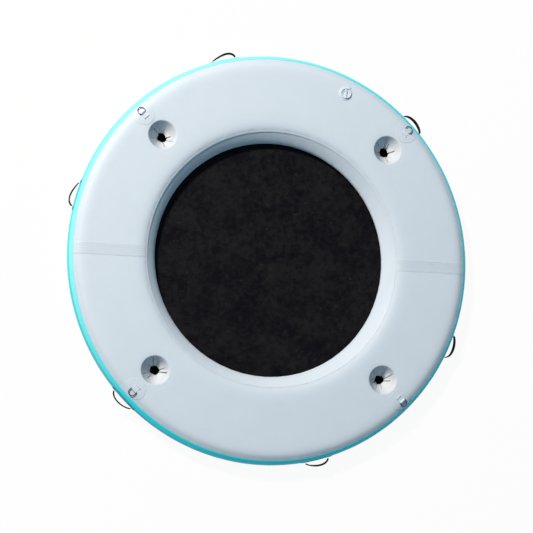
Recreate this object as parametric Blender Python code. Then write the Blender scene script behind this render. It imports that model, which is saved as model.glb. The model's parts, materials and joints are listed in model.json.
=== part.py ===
"""Round inflatable dock platform with a stretched mesh centre.

The frame is metres, +Z up, origin at the middle of the ring on the plane that it rests on.
The air chamber is a flat ring of drop-stitch fabric with rounded side walls. Its section is
described by points with an outward normal, so that every skin, tape and patch is the same
surface raised by a named amount. The ring is turned in flat facets, and everything that is
glued to it lies in one facet or shares the facets' edges.
"""
import math

import bmesh
import bpy
from mathutils import Matrix, Vector

# Platform
PLATFORM_DIAMETER = 2.438
DECK_THICKNESS = 0.152
RING_WIDTH = 0.523
RING_FACETS = 48

# Fabric and fits
SKIN_THICKNESS = 0.0018
TAPE_THICKNESS = 0.0010
SEAT_GAP = 0.0003
CUT_OVERRUN = 0.010

# Angles on the side walls, in degrees from straight up
SKIN_OUTER_EDGE = 60
SKIN_INNER_EDGE = 14
OUTER_TAPE_EDGES = (48, 60, 72)
INNER_TAPE_EDGES = (7, 14, 21)
OUTER_SHOULDER_STEPS = 2
OUTER_WALL_STEPS = 2
INNER_WALL_STEPS = 4

# Tapes over the two joins between the rear and front halves
JOINT_TAPE_WIDTH = 0.074
JOINT_TAPE_INNER_EDGE = 5
JOINT_TAPE_OUTER_EDGE = 46

# The yarn between the skins, thinned out from the real fabric
YARN_RADIUS = 0.0012
YARN_ROWS = 3
YARN_STEPS_PER_ROW = 7
YARN_EDGE_MARGIN = 0.034
YARN_FIELDS = (90, 180, 270, 360)
YARN_FIELD_HALF_ANGLE = 36

# Mesh centre
MESH_HEIGHT = 0.022
MESH_THICKNESS = 0.0012
MESH_EDGE_GAP = 0.0030
HEM_THICKNESS = 0.0012
HEM_WIDTH = 0.035

# Wells through the deck
WELL_INSET = 0.167
WELL_ANGLES = (45, 135, 225, 315)
WELL_MOUTH_RADIUS = 0.085
WELL_WAIST_RADIUS = 0.027
WELL_FACETS = 20
WELL_STEPS = 6
WELL_FOLDS = 5
WELL_FOLD_DEPTH = 0.0035
LINER_THICKNESS = 0.0014
COLLAR_OUTER_RADIUS = 0.097
COLLAR_INNER_RADIUS = 0.074

# Tie-down rings
DRING_PATCH_INSET = 0.003
DRING_PATCH_RADIUS = 0.065
DRING_PATCH_OUTER_EDGE = 45
DRING_PATCH_FIRST_TURN = 10
DRING_PATCH_ROWS = 4
TAB_WIDTH = 0.034
TAB_THICKNESS = 0.0024
TAB_LENGTH = 0.035
TAB_EYE_RADIUS = 0.0032
TAB_EYE_WALL = 0.0015
TAB_EYE_SIDES = 10
BAR_OVERHANG = 0.007
DRING_WIRE_RADIUS = 0.0025
DRING_WIDTH = 0.042
DRING_DEPTH = 0.035
DRING_CORNER = 0.005
DRING_REST_TILT = 19
DRING_ARC_POINTS = 10

# Grab handles
HANDLE_ANGLES = (45, 105, 165, 225, 285, 337.5)
HANDLE_SPAN = 0.140
HANDLE_STANDOFF = 0.032
HANDLE_BULGE_POWER = 0.8
WEBBING_WIDTH = 0.025
WEBBING_THICKNESS = 0.0022
HANDLE_AXIS_STANDOFF = 0.0130
HANDLE_STEPS = 10
HANDLE_PAD_END = 0.100
HANDLE_PAD_EDGE = 73.5

# Inflation valve, with heights counted from the deck's face
VALVE_ANGLE = 67.5
VALVE_INSET = 0.046
VALVE_FACETS = 24
FLANGE_RADIUS = 0.0425
FLANGE_SHOULDER_RADIUS = 0.036
FLANGE_EDGE_HEIGHT = 0.0018
FLANGE_HEIGHT = 0.0036
NECK_RADIUS = 0.0265
NECK_HEIGHT = 0.0080
BARREL_RADIUS = 0.0235
BORE_RADIUS = 0.0200
BARREL_DEPTH = 0.0390
SEAT_RADIUS = 0.0145
SEAT_THICKNESS = 0.0030
NUT_RADIUS = 0.038
NUT_THICKNESS = 0.004
GUIDE_DEPTH = 0.0195
GUIDE_THICKNESS = 0.0025
GUIDE_HOLE_RADIUS = 0.0042
GUIDE_HOLE_PLACE = 0.0120
GUIDE_HOLES = 4
STEM_RADIUS = 0.0030
STEM_CLEARANCE = 0.0005
BUTTON_RADIUS = 0.0065
BUTTON_THICKNESS = 0.0030
BUTTON_DEPTH = 0.0015
POPPET_RADIUS = 0.0180
POPPET_THICKNESS = 0.0030
SEAL_THICKNESS = 0.0015
STEM_SIDES = 16
SPRING_RADIUS = 0.0046
SPRING_WIRE_RADIUS = 0.0006
SPRING_TURNS = 5
SPRING_POINTS_PER_TURN = 8

# Valve cap and leash
CAP_RADIUS = 0.0310
CAP_HEIGHT = 0.0150
CAP_CHAMFER = 0.0020
CAP_SKIRT_RADIUS = 0.0290
CAP_SKIRT_CLEARANCE = 0.0007
CAP_WALL = 0.0015
CAP_PLUG_RADIUS = 0.0187
CAP_RIM_WIDTH = 0.0050
CAP_GRIP_WIDTH = 0.0120
CAP_GRIP_ANGLE = 90
LEASH_ANGLE = 60
LEASH_RING_WALL = 0.0022
LEASH_RING_HEIGHT = 0.0024
LEASH_TAB_WIDTH = 0.010
LEASH_HINGE_PLACE = 0.0330
LEASH_HINGE_GAP = 0.0003
EYE_RADIUS = 0.0085
EYE_HOLE_RADIUS = 0.0038
EYE_THICKNESS = 0.0015
STUD_RADIUS = 0.0034
STUD_HEIGHT = 0.0058

# Colours, as red, green and blue
PALE_GREY = (0.68, 0.76, 0.83)
SEAM_GREY = (0.62, 0.71, 0.79)
TURQUOISE = (0.05, 0.72, 0.76)
DEEP_TURQUOISE = (0.02, 0.60, 0.68)
MESH_BLACK = (0.012, 0.012, 0.014)
WEBBING_BLACK = (0.015, 0.015, 0.016)
WEBBING_GREY = (0.62, 0.67, 0.72)
YARN_WHITE = (0.80, 0.80, 0.78)
STEEL = (0.62, 0.63, 0.65)
VALVE_GREY = (0.55, 0.60, 0.65)
VALVE_DARK = (0.12, 0.13, 0.15)
RUBBER_BLACK = (0.02, 0.02, 0.02)

# What follows from them
FULL_TURN = 2 * math.pi
HALF_TURN = 180
FACET_ANGLE = FULL_TURN / RING_FACETS
HALF_FACET = FACET_ANGLE / 2
FACET_SHARE = math.cos(HALF_FACET)
BULGE = DECK_THICKNESS / 2
BASE = TAPE_THICKNESS + SEAT_GAP
MIDDLE = BASE + BULGE
DECK_TOP = MIDDLE + BULGE
OUTER_CENTRE = PLATFORM_DIAMETER / 2 - BULGE
INNER_CENTRE = PLATFORM_DIAMETER / 2 - RING_WIDTH + BULGE
WELL_PLACE = OUTER_CENTRE - WELL_INSET
DRING_PATCH_PLACE = OUTER_CENTRE - DRING_PATCH_INSET
BAR_PLACE = OUTER_CENTRE + BAR_OVERHANG
VALVE_PLACE = OUTER_CENTRE - VALVE_INSET
GAP_ANGLE = math.degrees(SEAT_GAP / BULGE)


def clear_scene():
    """Remove every object, so that the script starts from nothing."""
    for thing in list(bpy.data.objects):
        bpy.data.objects.remove(thing, do_unlink=True)


def finish(thing, colour, roughness, metallic=0.0):
    """Give a piece its own material."""
    material = bpy.data.materials.new(thing.name)
    material.use_nodes = True
    shader = material.node_tree.nodes["Principled BSDF"]
    shader.inputs["Base Color"].default_value = (*colour, 1.0)
    shader.inputs["Roughness"].default_value = roughness
    shader.inputs["Metallic"].default_value = metallic
    material.diffuse_color = (*colour, 1.0)
    thing.data.materials.append(material)
    return thing


def add_object(name, data, angle=0.0):
    """Put a mesh or curve into the scene, turned about Z by an angle in degrees."""
    thing = bpy.data.objects.new(name, data)
    thing.rotation_euler.z = math.radians(angle)
    bpy.context.collection.objects.link(thing)
    return thing


def mesh_from(name, bm, smooth=35):
    """Close a bmesh off into a mesh with outward faces and smooth shading up to an angle."""
    bmesh.ops.recalc_face_normals(bm, faces=bm.faces)
    mesh = bpy.data.meshes.new(name)
    bm.to_mesh(mesh)
    bm.free()
    mesh.shade_smooth()
    mesh.set_sharp_from_angle(angle=math.radians(smooth))
    return mesh


def outer_wall(degrees):
    """Point and outward normal on the outer wall, by its angle from straight up."""
    s, c = math.sin(math.radians(degrees)), math.cos(math.radians(degrees))
    return OUTER_CENTRE + BULGE * s, MIDDLE + BULGE * c, s, c


def inner_wall(degrees):
    """Point and outward normal on the inner wall, by its angle from straight up."""
    s, c = math.sin(math.radians(degrees)), math.cos(math.radians(degrees))
    return INNER_CENTRE - BULGE * s, MIDDLE + BULGE * c, -s, c


def deck(radius, side=1):
    """Point and outward normal on the flat face above (side 1) or below (side -1)."""
    return radius, MIDDLE + side * BULGE, 0.0, side


def spread(first, last, steps):
    """Evenly spaced values from first to last."""
    return [first + (last - first) * i / steps for i in range(steps + 1)]


def raised(points, lift):
    """Radius and height of section points, moved along their normals."""
    return [(r + nr * lift, z + nz * lift) for r, z, nr, nz in points]


def layer(points, base, thickness):
    """Closed section of a sheet that lies on the given points."""
    return raised(points, base + thickness) + raised(points, base)[::-1]


def below(points):
    """The same section points, mirrored to the underside."""
    return [(r, 2 * MIDDLE - z, nr, -nz) for r, z, nr, nz in points]


def at_height(first, last, height):
    """Point at a height on the line between two section points."""
    share = (height - first[1]) / (last[1] - first[1])
    return first[0] + (last[0] - first[0]) * share, height


def at_radius(first, last, radius):
    """Point at a radius on the line between two section points."""
    share = (radius - first[0]) / (last[0] - first[0])
    return radius, first[1] + (last[1] - first[1]) * share


def polyline_radius(points, height):
    """Radius of a falling line of section points at a height."""
    for first, last in zip(points, points[1:]):
        if first[1] >= height >= last[1]:
            return at_height(first, last, height)[0]
    return points[-1][0]


def turned(section, facets, start=0.0):
    """Spin a closed section about Z in flat facets; points on the axis become poles."""
    bm = bmesh.new()
    turn = Matrix.Rotation(start, 3, "Z")
    verts = [bm.verts.new(turn @ Vector((r, 0.0, z))) for r, z in section]
    edges = [bm.edges.new(pair) for pair in zip(verts, verts[1:] + verts[:1])]
    edges = [e for e in edges if any(v.co.xy.length > SEAT_GAP / 2 for v in e.verts)]
    bmesh.ops.spin(bm, geom=verts + edges, cent=(0, 0, 0), axis=(0, 0, 1), angle=FULL_TURN,
                   steps=facets, use_merge=True, use_duplicate=False)
    bmesh.ops.remove_doubles(bm, verts=bm.verts, dist=SEAT_GAP / 10)
    loose = [e for e in bm.edges if not e.link_faces]
    bmesh.ops.delete(bm, geom=loose, context="EDGES")
    return bm


def ring_piece(name, section, colour, roughness):
    """A full ring with the platform's facets."""
    mesh = mesh_from(name, turned(section, RING_FACETS, HALF_FACET))
    return finish(add_object(name, mesh), colour, roughness)


def slab(lower, upper):
    """Closed sheet between two grids of points that have the same rows and columns."""
    bm = bmesh.new()
    low = [[bm.verts.new(p) for p in row] for row in lower]
    high = [[bm.verts.new(p) for p in row] for row in upper]
    rows, columns = len(low), len(low[0])
    for i in range(rows - 1):
        for j in range(columns - 1):
            bm.faces.new((high[i][j], high[i + 1][j], high[i + 1][j + 1], high[i][j + 1]))
            bm.faces.new((low[i][j], low[i][j + 1], low[i + 1][j + 1], low[i + 1][j]))
    rim = [(0, j) for j in range(columns)] + [(i, columns - 1) for i in range(1, rows)]
    rim += [(rows - 1, j) for j in range(columns - 2, -1, -1)] + [(i, 0) for i in range(rows - 2, 0, -1)]
    for (a, b), (c, d) in zip(rim, rim[1:] + rim[:1]):
        bm.faces.new((low[a][b], low[c][d], high[c][d], high[a][b]))
    return bm


def on_facets(angle, radius, height):
    """Point of the faceted ring at an angle, where radius is that of the facets' corners."""
    local = angle - FACET_ANGLE * round(angle / FACET_ANGLE)
    reach = radius * FACET_SHARE / math.cos(local)
    return Vector((reach * math.cos(angle), reach * math.sin(angle), height))


def glued(points, columns, base, thickness):
    """Sheet glued to the ring: one row for each section point, with its columns' angles."""
    def grid(lift):
        return [[on_facets(a, r, z) for a in angles]
                for (r, z), angles in zip(raised(points, lift), columns)]
    return slab(grid(base), grid(base + thickness))


def cutter(name, bm, location=(0.0, 0.0, 0.0)):
    """A guide that only cuts."""
    thing = add_object(name, mesh_from(name, bm))
    thing.location = location
    thing.hide_render = True
    thing.display_type = "WIRE"
    return thing


def boolean(thing, tool, operation="DIFFERENCE"):
    """Cut a piece by a guide, or join the guide to it."""
    change = thing.modifiers.new(tool.name, "BOOLEAN")
    change.operation = operation
    change.solver = "EXACT"
    change.object = tool


def cylinder_section(radius, low, high):
    """Closed section of a solid cylinder."""
    return [(0.0, high), (radius, high), (radius, low), (0.0, low)]


def ring_section(inner, outer, low, high):
    """Closed section of a flat ring."""
    return [(outer, high), (outer, low), (inner, low), (inner, high)]


def polar(angle, radius, height):
    """Point at an angle in degrees, a radius and a height."""
    a = math.radians(angle)
    return Vector((radius * math.cos(a), radius * math.sin(a), height))


def shoulder_angles():
    """Angles of the top skin's section points over the outer shoulder."""
    return spread(0, OUTER_TAPE_EDGES[0], OUTER_SHOULDER_STEPS) + [SKIN_OUTER_EDGE]


def deck_section():
    """Section points of the top skin, from its inner edge over the deck to its outer edge."""
    inner = [inner_wall(a) for a in (SKIN_INNER_EDGE, 0)]
    return inner + [outer_wall(a) for a in shoulder_angles()]


def half_skin(name, points, side, holes):
    """Half of the top or bottom skin, cut on the join and pierced by its holes."""
    section = layer(points, -SKIN_THICKNESS, SKIN_THICKNESS)
    bm = turned(section, RING_FACETS, HALF_FACET)
    cut = bmesh.ops.bisect_plane(bm, geom=bm.verts[:] + bm.edges[:] + bm.faces[:],
                                 plane_co=(0, side * SEAT_GAP, 0), plane_no=(0, side, 0),
                                 clear_inner=True)
    edges = [e for e in cut["geom_cut"] if isinstance(e, bmesh.types.BMEdge)]
    bmesh.ops.holes_fill(bm, edges=edges, sides=0)
    skin = finish(add_object(name, mesh_from(name, bm)), PALE_GREY, 0.55)
    for hole in holes:
        boolean(skin, hole)
    return skin


def chamber():
    """Skins, side walls and the tapes over their seams."""
    low, high = MIDDLE - BULGE - CUT_OVERRUN, DECK_TOP + CUT_OVERRUN
    bores = {}
    for angle in WELL_ANGLES:
        bm = turned(cylinder_section(WELL_MOUTH_RADIUS, low, high), WELL_FACETS)
        bores[angle] = cutter(f"well_bore_{angle}", bm, polar(angle, WELL_PLACE, 0.0))
    valve_hole = cutter("valve_bore", turned(
        cylinder_section(BARREL_RADIUS + SEAT_GAP, MIDDLE, high), VALVE_FACETS), valve_centre())
    rear = [bores[a] for a in WELL_ANGLES if a < HALF_TURN]
    front = [bores[a] for a in WELL_ANGLES if a > HALF_TURN]
    top = deck_section()
    half_skin("top_skin_rear", top, 1, rear + [valve_hole])
    half_skin("top_skin_front", top, -1, front)
    half_skin("bottom_skin_rear", below(top), 1, rear)
    half_skin("bottom_skin_front", below(top), -1, front)

    outer = [outer_wall(a) for a in side_angles(SKIN_OUTER_EDGE, OUTER_TAPE_EDGES[-1], OUTER_WALL_STEPS)]
    ring_piece("outer_side_band", layer(outer, -SKIN_THICKNESS, SKIN_THICKNESS), DEEP_TURQUOISE, 0.45)
    ring_piece("inner_side_band", layer(inner_band_points(), -SKIN_THICKNESS, SKIN_THICKNESS),
               PALE_GREY, 0.55)

    rail = [outer_wall(a) for a in OUTER_TAPE_EDGES]
    seam = [inner_wall(a) for a in INNER_TAPE_EDGES]
    ring_piece("outer_top_tape", layer(rail, SEAT_GAP, TAPE_THICKNESS), TURQUOISE, 0.45)
    ring_piece("outer_bottom_tape", layer(below(rail), SEAT_GAP, TAPE_THICKNESS), TURQUOISE, 0.45)
    ring_piece("inner_top_tape", layer(seam, SEAT_GAP, TAPE_THICKNESS), SEAM_GREY, 0.5)


def side_angles(skin_edge, tape_edge, steps):
    """Angles of a side strip's section points, from the upper skin's edge to the lower one's."""
    first = skin_edge + GAP_ANGLE
    return [first] + spread(tape_edge, HALF_TURN - tape_edge, steps) + [HALF_TURN - first]


def inner_band_points():
    """Section points of the inner wall strip, top to bottom."""
    angles = side_angles(SKIN_INNER_EDGE, INNER_TAPE_EDGES[-1], INNER_WALL_STEPS)
    return [inner_wall(a) for a in angles]


def joint_tapes():
    """Wide tapes over the two joins, above and below."""
    top = [inner_wall(JOINT_TAPE_INNER_EDGE), inner_wall(0)]
    top += [outer_wall(a) for a in shoulder_angles() if a < JOINT_TAPE_OUTER_EDGE]
    top += [outer_wall(JOINT_TAPE_OUTER_EDGE)]
    for level, points in (("top", top), ("bottom", below(top))):
        columns = [[-JOINT_TAPE_WIDTH / 2 / p[0], JOINT_TAPE_WIDTH / 2 / p[0]] for p in points]
        for side, angle in (("right", 0), ("left", HALF_TURN)):
            name = f"joint_tape_{level}_{side}"
            mesh = mesh_from(name, glued(points, columns, SEAT_GAP, TAPE_THICKNESS))
            finish(add_object(name, mesh, angle), SEAM_GREY, 0.5)


def yarn():
    """One yarn that runs up and down between the skins, field by field, clear of the wells."""
    low = MIDDLE - BULGE + SKIN_THICKNESS + SEAT_GAP + YARN_RADIUS
    high = DECK_TOP - SKIN_THICKNESS - SEAT_GAP - YARN_RADIUS
    rows = spread(INNER_CENTRE + YARN_EDGE_MARGIN, OUTER_CENTRE - YARN_EDGE_MARGIN, YARN_ROWS - 1)
    points = []
    for middle in YARN_FIELDS:
        angles = spread(middle - YARN_FIELD_HALF_ANGLE, middle + YARN_FIELD_HALF_ANGLE, YARN_STEPS_PER_ROW)
        for radius in rows:
            for angle in angles:
                points += [polar(angle, radius, low), polar(angle, radius, high)]
                low, high = high, low
            angles.reverse()
        rows.reverse()
    data = wire("drop_stitch_yarn", points, YARN_RADIUS, 0)
    finish(add_object("drop_stitch_yarn", data), YARN_WHITE, 0.8)


def mesh_centre():
    """The stretched mesh and the hem that carries it on the inner wall."""
    wall = inner_band_points()
    level = MIDDLE - BULGE + MESH_HEIGHT
    lowest = [p for p in wall if p[1] < level][0]
    index = wall.index(lowest)
    radius, height = at_height(wall[index - 1], lowest, level)
    reach = math.hypot(radius - INNER_CENTRE, height - MIDDLE)
    root = (radius, height, (radius - INNER_CENTRE) / reach, (height - MIDDLE) / reach)
    leg = [inner_wall(HALF_TURN - INNER_TAPE_EDGES[0]), inner_wall(HALF_TURN - SKIN_INNER_EDGE)]
    leg += wall[-2:index - 1:-1] + [root]
    inside = raised(leg, SEAT_GAP)
    outside = raised(leg, SEAT_GAP + HEM_THICKNESS)
    shelf = inside[-1][1]
    corner = at_height(outside[-1], outside[-2], shelf - HEM_THICKNESS)
    rim = inside[-1][0] - HEM_WIDTH
    section = inside + [(rim, shelf), (rim, shelf - HEM_THICKNESS), corner] + outside[-2::-1]
    ring_piece("mesh_hem", section, SEAM_GREY, 0.5)

    low = shelf + SEAT_GAP
    high = low + MESH_THICKNESS
    radius = polyline_radius(wall, high) - MESH_EDGE_GAP
    bm = bmesh.new()
    bmesh.ops.create_cone(bm, cap_ends=True, segments=RING_FACETS, radius1=radius, radius2=radius,
                          depth=high - low, matrix=Matrix.Translation((0, 0, (low + high) / 2))
                          @ Matrix.Rotation(HALF_FACET, 4, "Z"))
    finish(add_object("mesh_panel", mesh_from("mesh_panel", bm)), MESH_BLACK, 0.85)


def liner_points():
    """Section of a well's wall from mouth to foot, without its folds."""
    rim = WELL_MOUTH_RADIUS - SEAT_GAP
    reach = rim - WELL_WAIST_RADIUS
    angles = [math.radians(a) for a in spread(0, HALF_TURN, WELL_STEPS)]
    seen = [(rim - reach * math.sin(a), MIDDLE + BULGE * math.cos(a)) for a in angles]
    hidden = [(rim - (reach - LINER_THICKNESS) * math.sin(a),
               MIDDLE + (BULGE - LINER_THICKNESS) * math.cos(a)) for a in angles]
    return seen, hidden


def fold_depth(height):
    """How far the folds stand in at a height: none at the mouths, most at the waist."""
    return WELL_FOLD_DEPTH * max(0.0, 1 - ((height - MIDDLE) / BULGE) ** 2) ** 2


def wells():
    """Pinched sleeves through the deck, each with its collar and the net over its foot."""
    seen, hidden = liner_points()
    mouth_slope = [at_radius(seen[0], seen[1], COLLAR_INNER_RADIUS)]
    collar = [(COLLAR_OUTER_RADIUS, DECK_TOP), (WELL_MOUTH_RADIUS, DECK_TOP)] + mouth_slope
    collar = layer([(r, z, 0.0, 1.0) for r, z in collar], SEAT_GAP, TAPE_THICKNESS)
    net = cylinder_section(COLLAR_OUTER_RADIUS, 0.0, TAPE_THICKNESS)
    for number, angle in enumerate(WELL_ANGLES, start=1):
        place = polar(angle, WELL_PLACE, 0.0)
        bm = turned(seen + hidden[::-1], WELL_FACETS)
        for vert in bm.verts:
            turn = math.atan2(vert.co.y, vert.co.x)
            radius = vert.co.xy.length
            pinch = fold_depth(vert.co.z) * math.cos(WELL_FOLDS * turn)
            vert.co.xy *= (radius - pinch) / radius
        liner = finish(add_object(f"well_liner_{number}", mesh_from("liner", bm)), PALE_GREY, 0.55)
        rim = mesh_from("collar", turned(collar, WELL_FACETS))
        rim = finish(add_object(f"well_collar_{number}", rim), SEAM_GREY, 0.5)
        foot = mesh_from("net", turned(net, WELL_FACETS))
        foot = finish(add_object(f"well_net_{number}", foot), MESH_BLACK, 0.85)
        for piece in (liner, rim, foot):
            piece.location = place


def patch_rows():
    """Section points and half widths of a round patch that lies over the outer shoulder."""
    centre = DRING_PATCH_PLACE / FACET_SHARE
    flat = OUTER_CENTRE - centre
    rows = [(deck(centre - DRING_PATCH_RADIUS * math.cos(a)), DRING_PATCH_RADIUS * math.sin(a))
            for a in (math.radians(d) for d in spread(DRING_PATCH_FIRST_TURN, 90, DRING_PATCH_ROWS))]
    edges = [a for a in shoulder_angles() if a < DRING_PATCH_OUTER_EDGE]
    for a in edges + [DRING_PATCH_OUTER_EDGE]:
        along = flat + math.radians(a) * BULGE
        width = math.sqrt(max(DRING_PATCH_RADIUS ** 2 - along ** 2, TAB_THICKNESS ** 2))
        rows.append((outer_wall(a), width))
    return rows


def tab_section():
    """Webbing tab in side view: a flat tail that runs into an eye round the ring's bar."""
    low = DECK_TOP + 2 * SEAT_GAP + TAPE_THICKNESS
    eye_outer = TAB_EYE_RADIUS + TAB_EYE_WALL
    height = low + eye_outer
    tail = BAR_PLACE - TAB_LENGTH
    lift = TAB_THICKNESS - eye_outer
    meet = math.degrees(math.asin(lift / eye_outer))
    turns = spread(HALF_TURN - meet, -90, TAB_EYE_SIDES - 3)
    loop = [(BAR_PLACE + eye_outer * math.cos(math.radians(t)),
             height + eye_outer * math.sin(math.radians(t))) for t in turns]
    hole = [(BAR_PLACE + TAB_EYE_RADIUS * math.cos(FULL_TURN * i / TAB_EYE_SIDES),
             height + TAB_EYE_RADIUS * math.sin(FULL_TURN * i / TAB_EYE_SIDES))
            for i in range(TAB_EYE_SIDES)]
    return [(tail, low), (tail, low + TAB_THICKNESS)] + loop, hole, height


def extruded(outline, width):
    """Solid of an outline in X and Z, extruded over a width in Y."""
    bm = bmesh.new()
    face = bm.faces.new([bm.verts.new((x, -width / 2, z)) for x, z in outline])
    moved = bmesh.ops.extrude_face_region(bm, geom=[face])["geom"]
    verts = [v for v in moved if isinstance(v, bmesh.types.BMVert)]
    bmesh.ops.translate(bm, verts=verts, vec=(0, width, 0))
    return bm


def dring_path():
    """Closed centre line of the ring in its own plane: bar, rounded corners, arms and bow."""
    half = DRING_WIDTH / 2
    points = []
    for sign in (-1, 1):
        centre = Vector((DRING_CORNER, sign * (half - DRING_CORNER)))
        turns = spread(-90, 0, 2) if sign < 0 else spread(0, 90, 2)
        for t in turns:
            a = math.radians(t)
            offset = Vector((-math.cos(a), math.sin(a))) * DRING_CORNER
            points.append(centre + offset)
    bow = DRING_DEPTH - half
    for t in spread(90, -90, DRING_ARC_POINTS):
        a = math.radians(t)
        points.append(Vector((bow + half * math.cos(a), half * math.sin(a))))
    return points


def wire(name, points, radius, resolution, closed=False):
    """Round wire along a list of points."""
    curve = bpy.data.curves.new(name, "CURVE")
    curve.dimensions = "3D"
    curve.bevel_depth = radius
    curve.bevel_resolution = resolution
    spline = curve.splines.new("POLY")
    spline.points.add(len(points) - 1)
    for slot, point in zip(spline.points, points):
        slot.co = (*point, 1.0)
    spline.use_cyclic_u = closed
    curve.use_fill_caps = not closed
    return curve


def tie_downs():
    """Four round patches with a webbing tab and a D-ring that swings on its bar."""
    rows = patch_rows()
    points = [p for p, _ in rows]
    columns = [[-w / p[0], w / p[0]] for p, w in rows]
    outline, hole, height = tab_section()
    tilt = math.radians(DRING_REST_TILT)
    path = [Vector((p.x * math.cos(tilt), p.y, -p.x * math.sin(tilt))) for p in dring_path()]
    for number, angle in enumerate(WELL_ANGLES, start=1):
        name = f"dring_patch_{number}"
        mesh = mesh_from(name, glued(points, columns, SEAT_GAP, TAPE_THICKNESS))
        finish(add_object(name, mesh, angle), PALE_GREY, 0.5)
        name = f"dring_tab_{number}"
        tab = finish(add_object(name, mesh_from(name, extruded(outline, TAB_WIDTH)), angle),
                     WEBBING_GREY, 0.8)
        eye = cutter(f"tab_eye_{number}", extruded(hole, TAB_WIDTH + 2 * CUT_OVERRUN))
        eye.rotation_euler.z = math.radians(angle)
        boolean(tab, eye)
        pivot = bpy.data.objects.new(f"dring_axis_{number}", None)
        pivot.location = polar(angle, BAR_PLACE, height)
        pivot.rotation_euler.z = math.radians(angle)
        bpy.context.collection.objects.link(pivot)
        ring = add_object(f"dring_{number}", wire("dring", path, DRING_WIRE_RADIUS, 1, True))
        ring.parent = pivot
        finish(ring, STEEL, 0.25, 1.0)


def handle_path():
    """Webbing line in plan: along the chord, and how far it stands off the wall's facet."""
    points = []
    for i in range(HANDLE_STEPS + 1):
        share = 2 * i / HANDLE_STEPS - 1
        along = HANDLE_SPAN / 2 * share
        standoff = (HANDLE_STANDOFF - 2 * SEAT_GAP) * (1 - share ** 2) ** HANDLE_BULGE_POWER + 2 * SEAT_GAP
        points.append((along, standoff + TAPE_THICKNESS + WEBBING_THICKNESS / 2))
    return points


def webbing_loop():
    """Webbing standing on edge, with its ends rounded so that they clear the wall as it turns."""
    line = [Vector((out - HANDLE_AXIS_STANDOFF, along)) for along, out in handle_path()]
    lower, upper = [], []
    for i, point in enumerate(line):
        ahead = line[min(i + 1, len(line) - 1)] - line[max(i - 1, 0)]
        side = Vector((ahead.y, -ahead.x)).normalized() * WEBBING_THICKNESS / 2
        room = HANDLE_AXIS_STANDOFF - SEAT_GAP - TAPE_THICKNESS - SEAT_GAP
        inward = max(0.0, min(room, -min((point - side).x, (point + side).x)))
        half = min(WEBBING_WIDTH / 2, max(math.sqrt(room ** 2 - inward ** 2), WEBBING_THICKNESS / 2))
        for grid, edge in ((lower, point - side), (upper, point + side)):
            grid.append([Vector((edge.x, edge.y, h)) for h in (-half, half)])
    return slab(lower, upper)


def handles():
    """Six webbing handles, each with a pad behind it."""
    wall = OUTER_CENTRE + BULGE
    points = [outer_wall(a) for a in spread(HANDLE_PAD_EDGE, HALF_TURN - HANDLE_PAD_EDGE, OUTER_WALL_STEPS)]
    reach = HANDLE_PAD_END / wall
    columns = [[-reach, -HALF_FACET, HALF_FACET, reach]] * len(points)
    for number, angle in enumerate(HANDLE_ANGLES, start=1):
        name = f"handle_pad_{number}"
        mesh = mesh_from(name, glued(points, columns, SEAT_GAP, TAPE_THICKNESS))
        finish(add_object(name, mesh, angle), DEEP_TURQUOISE, 0.45)
        name = f"handle_{number}"
        loop = finish(add_object(name, mesh_from(name, webbing_loop()), angle), WEBBING_BLACK, 0.85)
        loop.location = polar(angle, wall * FACET_SHARE + HANDLE_AXIS_STANDOFF, MIDDLE)


def valve_centre():
    """Middle of the valve on the ground plane."""
    return polar(VALVE_ANGLE, VALVE_PLACE, 0.0)


def valve_piece(name, bm, colour, roughness, metallic=0.0, angle=0.0):
    """A piece that stands on the valve's axis, with heights counted from the deck's face."""
    thing = finish(add_object(name, mesh_from(name, bm), angle), colour, roughness, metallic)
    thing.location = valve_centre() + Vector((0, 0, DECK_TOP))
    return thing


def box(low, high):
    """Plain block between two corners."""
    bm = bmesh.new()
    bmesh.ops.create_cube(bm, size=1)
    size = Vector(high) - Vector(low)
    bmesh.ops.scale(bm, vec=size, verts=bm.verts)
    bmesh.ops.translate(bm, vec=(Vector(high) + Vector(low)) / 2, verts=bm.verts)
    return bm


def valve_guide(name, bm, angle=0.0, place=(0.0, 0.0, 0.0)):
    """A cutter or a join that stands on the valve's axis."""
    thing = cutter(name, bm)
    thing.rotation_euler.z = math.radians(angle)
    turn = Matrix.Rotation(math.radians(angle), 3, "Z")
    thing.location = valve_centre() + Vector((0, 0, DECK_TOP)) + turn @ Vector(place)
    return thing


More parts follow.
